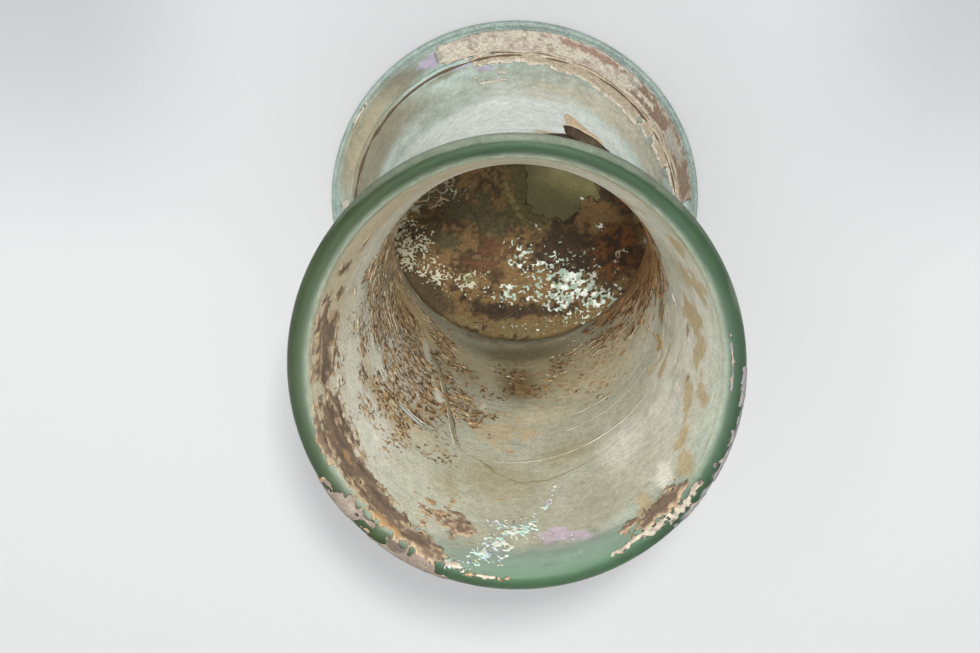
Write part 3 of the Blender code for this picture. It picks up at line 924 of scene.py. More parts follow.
BROAD_FILM = (
    (DULL, [(-72, IN(86), 15, 9, 1.4), (-96, IN(90), 8, 6, 1.0)]),
    (WHITE, [(-168, IN(78), 14, 12, 1.5), (-150, IN(80), 8, 7, 1.2), (-48, IN(76), 8, 10, 0.9),
             (4, IN(80), 12, 16, 1.1), (-160, IN(52), 18, 20, 1.1), (-20, IN(70), 8, 10, 1.0),
             (90, IN(80), 60, 16, 1.3), (12, IN(86), 14, 14, 1.4), (-20, IN(53), 11, 9, 1.1)]),
    (colour("#cbbf9e"), [(-48, IN(42), 13, 13, 1.4), (-20, IN(50), 9, 7, 0.8), (-80, IN(56), 12, 6, 0.9)]),
    # This warm cream drift low on the left is painted light: it lifts the lower wall there, which lies in
    # shade.
    (colour("#cdb88d"), [(-154, IN(34), 14, 12, 1.3), (-128, IN(32), 8, 10, 1.0)]),
    (STRAW, [(-97, IN(76), 8, 6, 1.2), (-114, IN(80), 5, 8, 0.8), (-72, IN(70), 8, 5, 1.0),
             (-104, IN(94), 3, 3, 1.0), (90, IN(88), 20, 12, 0.6), (24, IN(80), 8, 14, 0.5)]),
    (BEIGE, [(150, IN(90), 22, 9, 1.3), (120, IN(90), 18, 8, 1.1), (-192, IN(88), 8, 10, 1.2),
             (-170, IN(96), 14, 2.4, 1.2), (-150, IN(74), 14, 3, 10, 1.0), (-132, IN(71), 9, 3.4, 20, 1.0),
             (60, IN(95), 26, 3, 0.8)]),
    (colour("#93927a"), [(90, LIP_TOP - 1.8, 40, 2.2, 1.3)]),
    (MINT_FILM, [(-13, IN(94.5), 9, 3.6, 1.3), (-55, IN(93), 5, 3, 1.0), (12, IN(94), 10, 3, 1.0)]),
    (colour("#879a86"), [(-80, IN(95.6), 16, 2.6, 1.3)]),
    (MOSS, [(-82, IN(30), 12, 20, 1.1), (-110, IN(36), 12, 16, 0.7), (60, IN(40), 40, 24, 1.0)]),
    (DARK_MOSS, [(-91, IN(42), 5, 12, 0.9), (-92, IN(24), 12, 6, 1.2), (-90, IN(11), 30, 2.5, 1.0),
                 (-30, IN(20), 14, 8, 1.0), (-140, IN(12), 16, 3, 0.9), (60, IN(22), 40, 14, 1.0)]),
)
SHARP_FILM = (
    (CREAM, [(-98, IN(62.5), 5.4, 4.4, 1.1), (-28, IN(65.6), 2.4, 1.4, 0.9), (-90, IN(57), 3, 1.6, 0.6)]),
    (TAN, [(-48, IN(92.5), 1.6, 4.4, 1.0), (-31, IN(93.8), 2.3, 3.6, 14, 1.1),
           (-29, IN(88.6), 3.6, 2.0, 1.0), (-13, IN(88.6), 1.6, 3.6, 1.0),
           (-17, IN(84), 2.4, 2.4, 30, 1.0), (-2, IN(85.5), 3.4, 3.6, 1.0), (8, IN(82), 2.2, 5, 1.0),
           (-18, IN(69.8), 5.4, 1.1, 1.0), (22, IN(88), 2.4, 7, 1.1), (34, IN(90), 1.8, 5, 1.0),
           (50, IN(76), 2.4, 10, 1.0), (-22, IN(67), 2.0, 1.4, 0.8)]),
    (UMBER_FILM, [(-13, IN(82.3), 0.7, 1.5, -20, 0.8), (0.5, IN(79), 1.4, 1.3, 0.9),
                  (-7.5, IN(60), 1.9, 3.0, 1.0)]),
    (AMBER, [(-17, IN(62.4), 1.5, 2.4, 1.1), (-17.5, IN(59.2), 0.7, 1.3, 1.0),
             (-65, IN(29.5), 1.0, 1.7, 0.8), (-58, IN(28.5), 0.8, 1.5, 0.7), (-79, IN(45), 0.9, 4.5, 0.7),
             (-52, IN(52), 1.8, 2.6, 0.5), (-39, IN(48), 2.6, 1.2, 0.6)]),
    (WHITE, [(-40, IN(90.8), 1.8, 2.6, 1.1), (-35, IN(89.2), 2.0, 0.9, 0.9),
             (-26, IN(75.4), 3.4, 2.6, 1.1), (-11, IN(73.4), 5, 1.8, 10, 1.0),
             (-9, IN(79.3), 2.1, 3.0, -25, 1.15), (-19.5, IN(78.4), 0.9, 1.6, 0.8),
             (-161, IN(67.4), 3.0, 1.5, 1.0), (-137, IN(42.6), 0.9, 4.4, -8, 1.0),
             (-106, IN(53), 1.3, 2.8, 0.7), (-126, IN(58), 0.8, 2.2, -20, 0.8),
             (-5, IN(65), 2.2, 2.6, 0.8)]),
    (LILAC, [(-79, IN(90.1), 2.6, 1.5, 25, 1.2), (-73, IN(91.3), 3.2, 1.1, 20, 1.1),
             (-67, IN(92.6), 2.0, 0.7, 20, 0.8)]),
)
STREAKED = [(-22, IN(54), 7, 6, 0.9), (-60, IN(54), 10, 5, 0.4), (-188, IN(50), 10, 26, 0.9),
            (15, IN(50), 10, 20, 0.8), (60, IN(40), 30, 20, 0.8), (140, IN(60), 20, 14, 0.6)]
RUSTY = [(-138, IN(82), 4.0, 8, 1.1), (-155, IN(84), 8, 4, 0.9), (-121, IN(90), 6, 3.4, 1.5),
         (-112, IN(84), 7, 6, 1.0), (-96, IN(80), 8, 5, 0.8), (-104, IN(54), 10, 8, 1.2),
         (-76, IN(42), 10, 13, 1.6), (-52, IN(38), 9, 12, 1.6), (-54, IN(54), 7, 9, 1.4),
         (-112, IN(46), 8, 10, 1.4), (150, IN(60), 14, 14, 0.8), (-95, IN(68), 12, 6, 0.8)]
THIN_FILM = [(-76, IN(96), 20, 4.2, 1.5), (-92, IN(12), 24, 5, 0.8), (-108, IN(93), 4, 3, 0.8)]


def inner_values(at, angle, s, cover):
    """Ground colour from broad drifts and sharper patches, then density, streaks and rust, at each point."""
    drift, fine = 0.5 * ragged(at, 7.0, 5, 61), 1.3 * ragged(at, 2.4, 5, 67)
    stain = np.broadcast_to(SAGE, s.shape + (4,))
    for shade, spots in BROAD_FILM:
        stain = mixed(stain, shade, soft(on_wall(angle, s, spots) + drift, -0.2, 0.9))
    shown = np.zeros(s.shape)
    for shade, spots in SHARP_FILM:
        share = 0.9 * soft(on_wall(angle, s, spots) + fine, 0.0, 0.35)
        stain, shown = mixed(stain, shade, share), np.maximum(shown, share)
    near_lip = np.clip((LIP_TOP - 0.2 - s) / EDGE_FADE, 0, 1)
    stain = mixed(stain, LIP_MINT, 0.7 * soft(s, LIP_TOP - 3.0, LIP_TOP - 1.6))
    thin = 0.6 * np.clip(on_wall(angle, s, THIN_FILM) + 0.5 * drift, 0, 1)
    net = np.clip(on_wall(angle, s, WALL_NET) + 0.6 * noise(at, 4.0, 83) - 0.1, 0, 1)
    bare = soft(on_wall(angle, s, PALE_PLACES) + fine, -0.1, 0.4)
    return {
        "stain": stain,
        "cover": 0.2 + (0.95 - thin) * near_lip + 0.2 * shown,
        "streak": np.clip(on_wall(angle, s, STREAKED), 0, 1),
        "rust": np.clip(on_wall(angle, s, RUSTY), 0, 1),
        "net": net * (1 - bare),
    }


sheet("inner_film", wall_grid((-180, 180), (CORNER_TOP - 1.5, LIP_TOP), 0.52), everywhere, FILM_LIFT,
      film_material("silica_film_inside", INNER_TINTS, (5.0, 0.4), 25, 0.62), inner_values)

# %% [markdown]
# ## The film outside
# The outside kept more of its colour. The film there is mint to white, thicker at the waist, with long
# threads round the body, and it turns grey-green and fades out over the outer half of the lip.

# %% Outer film
OUTER_BROAD = (
    (colour("#cfd4ca"), [(95, OUT(38), 30, 20, 1.5), (60, OUT(26), 18, 9, 1.1),
                         (-90, OUT(50), 50, 20, 1.3), (-160, OUT(24), 20, 14, 1.0)]),
    (colour("#b4b8a9"), [(150, OUT(34), 16, 16, 1.0), (-150, OUT(60), 26, 20, 1.0)]),
    (colour("#757e6b"), [(90, LIP_TOP + 1.5, 50, 4.5, 1.6)]),
    (colour("#b5b09a"), [(50, OUT(15), 26, 5, 1.3), (80, OUT(20), 16, 2.4, 0.8), (20, OUT(15), 14, 6, 1.2),
                         (-60, OUT(30), 30, 16, 1.0), (-80, OUT(12), 24, 6, 1.0)]),
    (colour("#a8b0a0"), [(120, OUT(18), 10, 5.5, 1.2), (88, OUT(13), 12, 2.6, 1.0),
                         (145, OUT(20), 8, 6, 0.8)]),
    (colour("#807c67"), [(158, OUT(11), 14, 5, 1.5), (132, OUT(5), 6, 4, 1.3), (180, OUT(14), 8, 10, 1.0),
                         (118, OUT(9.6), 7, 1.6, 0.9)]),
    (colour("#aaa081"), [(156, OUT(5), 10, 3.4, 1.4), (-160, OUT(34), 9, 8, 0.8),
                         (-130, OUT(8), 16, 6, 0.9)]),
)
OUTER_SHARP = (
    (colour("#a69cae"), [(117.6, OUT(5.0), 1.7, 2.0, 1.1), (122, OUT(4.6), 2.4, 1.5, 0.7),
                         (101.5, OUT(11), 2.0, 0.9, 0.9), (107, OUT(9.1), 1.0, 0.5, 0.8),
                         (111, OUT(8.9), 1.4, 0.4, 0.8), (-15, LIP_TOP + 3.6, 9, 1.6, 0.7)]),
    (colour("#8f8890"), [(-6, LIP_TOP + 1.7, 4, 1.0, 0.7), (-17, LIP_TOP + 1.9, 4.4, 1.0, 0.7),
                         (-30, LIP_TOP + 1.7, 5, 1.0, 0.7), (-40, LIP_TOP + 1.3, 4, 0.9, 0.6)]),
    (colour("#b3a488"), [(79, OUT(43.6), 3.2, 2.2, 1.0)]),
)
OUTER_STREAKS = [(90, OUT(17), 40, 5, 0.7), (30, OUT(15), 16, 5, 0.9), (-120, OUT(30), 26, 14, 0.8),
                 (-20, OUT(16), 30, 8, 0.8)]
OUTER_RUST = [(178, OUT(6), 5, 5, 0.9), (-100, OUT(20), 14, 12, 1.0), (-30, OUT(70), 16, 10, 0.9),
              (70, OUT(18), 16, 3, 0.7)]
OUTER_DENSE = [(95, OUT(36), 36, 20, 1.6), (60, OUT(24), 24, 12, 1.5), (-90, OUT(50), 60, 30, 1.3),
               (-10, OUT(6), 14, 5, 1.1), (-18, LIP_TOP + 3.0, 13, 2.6, 1.2), (150, OUT(12), 26, 12, 1.3),
               (88, LIP_TOP + 4, 16, 5, 1.4), (50, OUT(14), 24, 6, 0.9)]
MINT = colour("#b3c6ba")
MILKY_LIP = [(86, LIP_TOP + 1.5, 20, 9, 1.5), (20, LIP_TOP + 1.5, 7, 9, 0.7)]
OUTER_TINTS = {"streak": colour("#969884"), "glint": colour("#ccd1c8"), "rust": colour("#a08666"),
               "net": colour("#8d8066"), "net_dark": colour("#6d604a")}
OUTER_NET = [(178, OUT(6), 4, 4, 0.9), (50, OUT(13), 20, 2.4, 0.7)]


def outer_values(at, angle, s, cover):
    """Ground colour from broad drifts and sharper patches, then density, streaks and rust, at each point."""
    drift, fine = 0.4 * ragged(at, 7.0, 4, 71), 0.6 * ragged(at, 1.4, 4, 73)
    stain = np.broadcast_to(MINT, s.shape + (4,))
    for shade, spots in OUTER_BROAD:
        stain = mixed(stain, shade, soft(on_wall(angle, s, spots) + drift, -0.2, 0.9))
    shown = np.zeros(s.shape)
    for shade, spots in OUTER_SHARP:
        share = soft(on_wall(angle, s, spots) + fine, 0.0, 0.2)
        stain, shown = mixed(stain, shade, share), np.maximum(shown, share)
    milky = soft(on_wall(angle, s, MILKY_LIP) + 0.4 * drift, 0.0, 0.6)
    fade = soft(s + 0.7 * milky, LIP_TOP + 0.9, LIP_TOP + 2.2)
    dense = 0.74 + 0.4 * np.clip(on_wall(angle, s, OUTER_DENSE), 0, 1)
    return {
        "stain": stain,
        "cover": np.maximum(dense - (1 - fade), 1.1 * shown),
        "streak": np.clip(on_wall(angle, s, OUTER_STREAKS), 0, 1),
        "rust": np.clip(on_wall(angle, s, OUTER_RUST), 0, 1),
        "net": np.clip(on_wall(angle, s, OUTER_NET), 0, 1),
    }


sheet("outer_film", wall_grid((-180, 180), (LIP_TOP - 0.1, FOOT_EDGE + 0.4), 0.63), everywhere, FILM_LIFT,
      film_material("silica_film_outside", OUTER_TINTS, (9.0, 0.5), 6, 0.55), outer_values)

# %% [markdown]
# ## The stain under the foot
# The hollow under the foot trapped damp earth, and the glass there took an even olive stain. It shows
# from inside as the colour of the clean window in the floor.

# %% Underside stain
OLIVE, OLIVE_DARK, OLIVE_BROWN = colour("#5b561f"), colour("#4a4519"), colour("#4f3f24")
UNDER_TINTS = {"streak": colour("#4b452b"), "glint": colour("#8c8758"), "rust": colour("#6d5836"),
               "net": colour("#5b4829"), "net_dark": colour("#46371f")}
RING_START = END - REST_INNER_RADIUS


def under_values(at, angle, s, cover):
    """Even olive, a little darker in clouds, thin towards the ring that the foot stands on."""
    nowhere = np.zeros(s.shape)
    return {
        "stain": mixed(OLIVE, OLIVE_DARK, 0.5 + ragged(at, 6.0, 3, 95)),
        "cover": 1.4 - 0.8 * soft(s, RING_START, RING_START - 3),
        "streak": nowhere, "rust": nowhere + 0.2, "net": nowhere,
    }


sheet("underside_stain", wall_grid((-180, 180), (RING_START - 1.5, END - 0.3), 0.8), everywhere,
      FILM_LIFT, film_material("olive_stain", UNDER_TINTS, (3.0, 3.0), 0, 0.7), under_values)

# %% [markdown]
# ## The stain on the floor
# The upper side of the floor took the same stain from the soil that lay in the beaker, browner on the
# left. It fills the window that the crust leaves open, so this sheet is a plain disc, and it stops where
# the floor turns up into the wall.

# %% Stain on the floor
FLOOR_TINTS = {"streak": colour("#423c26"), "glint": colour("#66623e"), "rust": colour("#4c3c27"),
               "net": colour("#5b4829"), "net_dark": colour("#3a2d1b")}


def stain_values(at, angle, s, cover):
    """Olive all over, nearly opaque, browner towards the left."""
    olive = mixed(OLIVE, OLIVE_DARK, 0.5 + ragged(at, 5.0, 3, 97))
    leftward = soft(-at[..., 0] + 2 * noise(at, 3.0, 98), 7, 12)
    nowhere = np.zeros(s.shape)
    return {"stain": mixed(olive, OLIVE_BROWN, leftward), "cover": nowhere + 1.2,
            "streak": nowhere, "rust": nowhere + 0.1, "net": nowhere + 0.3}


def on_disc(at, angle, s):
    """Millimetres in from the edge of the floor."""
    return FLOOR_END - s


FLOOR_END = CORNER_TOP - 1.2
sheet("floor_stain", floor_grid(FLOOR_END + 0.8, 0.6), on_disc, 0.03,
      film_material("olive_stain_floor", FLOOR_TINTS, (3.0, 3.0), 0, 0.5), stain_values)

# %% [markdown]
# ## Crust
# Where the film met iron and lime in the soil, it grew into an opaque crust up to a third of a
# millimetre thick: brown-grey in its middle, tan at its edge, cream or pink where it is pure lime. Every
# patch is a closed sheet with its own relief. Colours are painted on its points, and the material adds
# a mineral grain and fine pits.

# %% Crust material
LIME, PINK, CRUST_TAN, UMBER, GREY_BROWN, SOOT = (
    colour(code) for code in ("#beb6a4", "#ad9d91", "#b09a7b", "#7f664d", "#7b6d60", "#50443a"))
PIT_DEPTH, GRAIN_LIGHT = 0.2, 0.6


def crust_material(name, grain_mm, contrast, roughness):
    """Matt mineral crust: painted colours, lighter and darker by contrast in grains, with pits between."""
    material, tree, shader = new_material(name)
    where = add(tree, "TexCoord").outputs["Object"]
    stain = add(tree, "Attribute", attribute_name="stain").outputs["Color"]
    grain = add(tree, "TexNoise", {"Vector": where, "Scale": 1 / (grain_mm * MM), "Detail": 6.0,
                                   "Roughness": 0.7}).outputs["Fac"]
    light = add(tree, "MapRange", {"Value": grain, "From Min": 0.3, "From Max": 0.7,
                                   "To Min": 1 - contrast, "To Max": 1 + GRAIN_LIGHT * contrast})
    shown = add(tree, "VectorMath", {0: stain, "Scale": light.outputs["Result"]}, operation="SCALE")
    tree.links.new(shown.outputs["Vector"], shader.inputs["Base Color"])
    bump = add(tree, "Bump", {"Height": grain, "Strength": 0.8, "Distance": PIT_DEPTH * MM})
    tree.links.new(bump.outputs["Normal"], shader.inputs["Normal"])
    shader.inputs["Roughness"].default_value = roughness
    return material


def lumpy(peak, size, seed, run=0.35):
    """The height of a crust in mm: steep at its edge, and lumpy up to peak further in."""
    def rise(at, cover):
        lumps = 0.6 + 0.4 * ragged(at, size, 3, seed)
        return peak * lumps * np.sqrt(np.clip(cover / run, 0, 1)) + EDGE_HEIGHT
    return rise


SOIL_CRUST = crust_material("lime_and_iron_crust", 0.45, 0.35, 0.85)
print("crust material ready")

# %% [markdown]
# ## The crust at the lip
# The longest patch runs along the inner edge of the lip, on the side that lay lowest in the ground. It is
# brown-grey with dark and light bands along it and a tan border, and lime from it ran over the lip as a
# pink-grey skin. Rust dots lie further in. A smaller patch sits a quarter of the way round from it.

# %% Lip crust
BROWN_LIP = [
    (-160, LIP_TOP - 2.0, 4.8, 0.9, 1.0), (-163, IN(91.8), 3.4, 4.6, 1.0), (-155, IN(92.0), 4.0, 4.4, 1.1),
    (-147, IN(92.8), 4.2, 4.0, 20, 1.1), (-138, IN(93.8), 4.6, 3.6, 25, 1.1),
    (-129, IN(94.8), 4.6, 3.0, 20, 1.1), (-120, IN(96.0), 4.6, 2.2, 20, 1.05),
    (-177, IN(90.5), 2.4, 5.2, 1.1), (-186, IN(90.0), 2.8, 5.4, 1.25), (-193, IN(93.0), 2.6, 3.4, 1.0),
    (-198, IN(87.0), 1.2, 3.0, 0.9), (153, IN(90), 1.2, 3.4, 0.9), (145, IN(86), 1.6, 1.6, 0.8),
    (161, IN(93), 1.2, 3.0, 0.9), (-107.5, IN(89.6), 3.0, 2.2, 10, 0.95), (-111, IN(86.6), 1.8, 1.2, 0.75),
    (-119, IN(89), 1.8, 1.2, 0.6), (-47, IN(95.8), 4.2, 2.0, -12, 1.1),
    (-40, IN(97.0), 2.8, 1.5, -10, 1.0), (-56, IN(94.6), 2.0, 1.0, 0.9),
]
SKIN_LIP = [
    (-5, LIP_TOP + 1.7, 3.0, 1.0, 1.0), (-15, LIP_TOP + 2.2, 4.6, 1.3, 0.95),
    (-26, LIP_TOP + 2.2, 4.6, 1.3, 0.95), (-37, LIP_TOP + 1.9, 4.4, 1.3, 0.95),
    (-44, LIP_TOP + 1.5, 2.0, 1.0, 0.8), (0, LIP_TOP - 0.5, 4.2, 0.45, 0.8),
]
PINK_LIP = [
    (-143, LIP_TOP + 1.7, 2.3, 2.3, 1.2), (-120, LIP_TOP + 1.7, 4.2, 2.2, 1.2),
    (-136, LIP_TOP - 0.4, 2.4, 0.45, 1.0), (-148, LIP_TOP + 0.6, 1.2, 0.9, 0.8),
]
LIME_LIP = [
    (-108, LIP_TOP - 1.2, 1.8, 0.9, 0.8), (-55, LIP_TOP - 1.2, 3.6, 0.5, -4, 1.0),
    (-47, LIP_TOP - 0.8, 3.0, 0.6, -4, 1.0), (-40, LIP_TOP - 0.2, 2.8, 0.7, 1.0),
    (-34, LIP_TOP - 0.6, 1.4, 0.6, 0.9), (-38, LIP_TOP + 1.4, 0.9, 0.5, 0.8),
    (-4, LIP_TOP + 1.9, 1.0, 0.6, 0.9), (4, LIP_TOP - 0.5, 1.2, 0.3, 0.8),
]
CRUMBLY = [(-178, IN(86), 5, 6, 0.75), (-184, IN(78), 3, 6, 0.6), (-166, IN(87), 7, 3, 0.7),
           (-150, IN(87), 7, 2.4, 0.55)]
ORANGE_LIP = [(-130, LIP_TOP - 2.0, 2.6, 1.0, 10, 1.1), (-56, LIP_TOP - 2.0, 1.6, 0.9, 1.0),
              (-150, IN(93), 2.0, 1.2, 0.7)]
CRUMBS = [(-124.5, LIP_TOP - 0.1, 2.6, 0.8, 1.0), (-44, LIP_TOP, 0.5, 0.5, 1.1),
          (-31, LIP_TOP - 0.25, 0.4, 0.4, 1.1), (-25, LIP_TOP + 0.4, 0.5, 0.4, 1.1),
          (-52, LIP_TOP - 1.0, 2.4, 0.4, 0.6)]
LINE_OF_DOTS = [(-98, LIP_TOP - 0.5, 3.0, 0.4, 1.0)]
LIP_PINK, LIP_PALE, LIP_LIME = colour("#7b6d61"), colour("#938879"), colour("#b6ae99")
LIP_BROWN, SKIN_GREY, DOT_BROWN, LIP_ORANGE = (
    colour(code) for code in ("#75624f", "#7f7c7c", "#9a7a58", "#a8865c"))
RUST_DOTS = [(-139, IN(82), 3.4, 8, 0.62), (-113, IN(89), 11, 7.5, 0.68), (-152, IN(80), 12, 5, 0.56),
             (-104, IN(96), 8, 1.6, 0.58), (-92, IN(86), 6, 4, 0.45), (-170, IN(84), 6, 6, 0.5)]


def lip_field(at, angle, s):
    """Brown and lime patches with ragged outlines, and dots where fine noise stands out."""
    patches = on_wall(angle, s, BROWN_LIP + PINK_LIP + LIME_LIP + CRUMBS)
    broken = 0.35 * ragged(at, 3.0, 2, 21) + 0.45 * noise(at, 1.1, 24) + 0.35 * noise(at, 0.6, 25)
    skin = on_wall(angle, s, SKIN_LIP) + 0.7 * noise(at, 1.2, 22) + 0.4 * noise(at, 0.6, 23) - 0.25
    dots = on_wall(angle, s, RUST_DOTS) + 0.7 * noise(at, 0.95, 33) + 0.5 * noise(at, 0.5, 34) - 0.68
    line = on_wall(angle, s, LINE_OF_DOTS) + 0.9 * noise(at, 0.55, 36) - 0.35
    crumbly = on_wall(angle, s, CRUMBLY) + 0.9 * noise(at, 0.8, 38) + 0.6 * noise(at, 0.45, 39) - 0.6
    return np.maximum.reduce([patches + broken - 0.1, skin, dots, line, crumbly])


def lip_values(at, angle, s, cover):
    """Brown-grey with darker and lighter bands along the lip, tan at the edge, pink-grey lime, rust dots."""
    brown, pink, lime, skin, orange, crumbs, line, crumbly = (on_wall(angle, s, spots) for spots in (
        BROWN_LIP, PINK_LIP, LIME_LIP, SKIN_LIP, ORANGE_LIP, CRUMBS, LINE_OF_DOTS, CRUMBLY))
    bands = ragged(at, (3.0, 3.0, 0.8), 4, 45)
    grain, fine = noise(at, 0.7, 46), ragged(at, 1.4, 3, 47)
    stain = mixed(CRUST_TAN, LIP_BROWN, soft(cover + 0.3 * bands + 0.2 * grain, 0.05, 0.4))
    stain = mixed(stain, SOOT, 0.7 * soft(bands + 0.3 * brown + 0.2 * grain, 0.15, 0.55))
    stain = mixed(stain, CRUST_TAN, soft(0.3 * grain - bands, 0.3, 0.6))
    stain = mixed(stain, LIP_ORANGE, 0.8 * soft(orange + fine, 0.0, 0.4))
    limy = soft(lime - np.maximum(brown, pink) + 0.4 * fine, -0.15, 0.15)
    stain = mixed(stain, mixed(LIP_LIME, LIP_PALE, 0.4 + grain), limy)
    pinkish = soft(pink - np.maximum(brown, lime) + 0.3 * fine, -0.15, 0.15)
    stain = mixed(stain, mixed(LIP_PINK, LIP_PALE, 0.35 + 0.6 * grain + fine), pinkish)
    skinned = soft(skin - np.maximum.reduce([brown, lime, pink]) + 0.2 * grain, -0.1, 0.1)
    stain = mixed(stain, mixed(SKIN_GREY, LIP_PALE, 0.1 + grain + fine), skinned)
    stain = mixed(stain, SOOT, 0.85 * soft(crumbs + 0.8 * grain, 0.1, 0.4))
    dotted = soft(-np.maximum.reduce([brown, lime, skin, pink, crumbs]), 0.15, 0.4)
    stain = mixed(stain, mixed(DOT_BROWN, CRUST_TAN, 0.5 + grain), dotted)
    stain = mixed(stain, mixed(LIME, LIP_LIME, 0.5 + grain), dotted * soft(crumbly, -0.5, 0.0))
    return {"stain": mixed(stain, mixed(CRUST_TAN, LIME, 0.5 + grain), soft(line, 0.1, 0.3))}


CRUST_LIFT = 0.07
sheet("lip_crust", wall_grid((-205, 155), (IN(70), LIP_TOP + 4.6), 0.25), lip_field, CRUST_LIFT, SOIL_CRUST,
      lip_values, lumpy(0.2, 0.9, 40))

# %% [markdown]
# ## Iron crust on the wall
# Further in, iron from the soil set on the wall as a network of small lumps: brown and tan with pale glass
# between them on the left, few and small in the middle, and a closed rusty coat at the lower right. The
# field is noise of several sizes, cut off where it is low, so one sheet breaks up into hundreds of lumps.

# %% Wall crust
NETWORK = [(-168, IN(48), 19, 21, 1.7), (-146, IN(50), 10, 19, 1.6), (-132, IN(46), 7, 18, 8, 1.3),
           (-128, IN(32), 7, 8, 1.1), (-139, IN(13), 9, 4, 1.1), (-152, IN(73), 9, 1.7, 1.0),
           (-135, IN(72.5), 1.0, 0.9, 1.0), (-127.5, IN(73.5), 0.8, 0.8, 1.0), (150, IN(44), 26, 22, 1.4),
           (90, IN(30), 26, 16, 1.2)]
LUMPS = [(-120.5, IN(59), 1.3, 3.0, 0.9), (-110, IN(60.5), 1.5, 3.2, 0.8),
         (-115, IN(52.5), 2.4, 2.5, 0.85), (-107, IN(46), 1.5, 6, 0.8), (-127, IN(38.5), 1.4, 2.4, 1.0),
         (-124, IN(45), 1.4, 3.0, 0.95), (-116, IN(38), 4, 8, 0.5), (-58, IN(71), 0.5, 0.6, 1.0),
         (-39.5, IN(57), 0.5, 0.7, 1.0), (-44, IN(34), 8, 12, -15, 0.75), (-22, IN(46), 4.0, 2.2, -10, 1.0),
         (-17, IN(60.5), 1.2, 3.2, 0.6), (-7, IN(60), 1.6, 3, 0.6), (-75, IN(40), 10, 14, 0.42),
         (-64, IN(28), 8, 6, 0.6), (-95, IN(38), 9, 10, 0.35), (-55, IN(57), 2.6, 8, 0.42),
         (-160, IN(78), 12, 6, 0.35)]
DARK_LUMPS = [(-145, IN(44.5), 2.6, 3.8, 1.1), (-146, IN(61.5), 2.0, 1.7, 1.1),
              (-128, IN(59.5), 2.0, 2.8, 1.1), (-137, IN(51.5), 1.0, 1.6, 1.1),
              (-144, IN(37), 2.0, 1.2, 1.1), (-155, IN(33), 1.2, 1.2, 1.0), (-140, IN(32), 1.2, 1.2, 1.0),
              (-131, IN(54), 0.8, 0.9, 1.1), (-22, IN(46), 4.4, 2.4, -10, 1.1), (-170, IN(40), 6, 7, 0.7),
              (-186, IN(46), 6, 12, 0.8), (-160, IN(46), 2.4, 5, 0.6)]
RUSTY_COAT = [(-56, IN(8)), (-50, IN(20)), (-38, IN(25)), (-27, IN(34)), (-15, IN(45)), (0, IN(53)),
              (12, IN(60)), (30, IN(64)), (60, IN(56)), (75, IN(30)), (75, IN(8))]
WALL_DARK, WALL_BROWN, WALL_TAN, WALL_CREAM = (
    colour(code) for code in ("#6b5035", "#9c7b52", "#c1a97f", "#d2c6a7"))
RUST_LIGHT, RUST_DARK, RUST_ORANGE = (colour(code) for code in ("#b08a5c", "#664525", "#bf8f5b"))


def wall_field(at, angle, s):
    """Lumps of noise that stand out where the places are strong, and the closed coat inside its outline."""
    lumps = ragged(at, (1.35, 1.35, 1.1), 4, 81)
    small = 0.6 * noise(at, 1.0, 86) + 0.5 * noise(at, 0.55, 87)
    network = np.clip(on_wall(angle, s, NETWORK), -1, 0.5) + 1.4 * lumps + 0.35 * small
    network = network + 0.45 * noise(at, 4.0, 83) - 0.80
    network = network - 1.2 * np.clip(on_wall(angle, s, PALE_PLACES) + 0.5 * small, 0, 1)
    single = on_wall(angle, s, LUMPS) + 0.9 * small - 0.5
    coat = 0.08 * in_outline(angle, s, RUSTY_COAT) + 1.4 * lumps + 0.4 * small + 0.08
    return np.maximum.reduce([network, single, coat])


def wall_values(at, angle, s, cover):
    """Tan at the edge of a lump to umber in its middle, cream here and there, and rust in the closed coat."""
    tone, fine = ragged(at, (1.4, 1.4, 1.0), 4, 88), ragged(at, 0.7, 3, 90)
    stain = mixed(WALL_TAN, WALL_BROWN, soft(0.6 * cover + 1.3 * tone + 0.5 * fine, -0.15, 0.35))
    darker = 0.4 * cover + 1.1 * tone + 0.7 * fine + 0.3 * noise(at, 3.0, 92)
    darker = darker + 0.45 * np.clip(on_wall(angle, s, DARK_LUMPS) + 0.3, 0, 1)
    stain = mixed(stain, WALL_DARK, soft(darker, 0.25, 0.6))
    stain = mixed(stain, WALL_CREAM, 0.8 * soft(-tone - 0.6 * fine, 0.12, 0.3))
    depth = in_outline(angle, s, RUSTY_COAT)
    rusty = mixed(RUST_LIGHT, RUST_DARK, soft(tone + 0.6 * fine + 0.3 * soft(-depth, -4.0, 1.0), -0.1, 0.35))
    rusty = mixed(rusty, RUST_ORANGE, 0.7 * soft(-tone + fine, 0.15, 0.4))
    return {"stain": mixed(stain, rusty, soft(depth, -8.0, -4.0))}


sheet("wall_crust", wall_grid((-200, 160), (CORNER_TOP - 0.6, IN(80)), 0.31), wall_field, CRUST_LIFT,
      SOIL_CRUST, wall_values, lumpy(0.13, 0.7, 91, 0.5))

# %% [markdown]
# ## The floor of the beaker
# The floor kept the soil longest. A thin brown crust covers it, red-brown to nearly black, and stops at a
# clean window of olive glass. Over it lie pale mint flakes of altered glass, lacy with holes, and matted
# fibres on the left. A tan band runs along the edge away from the break, and some places are stained
# yellow or rusty.

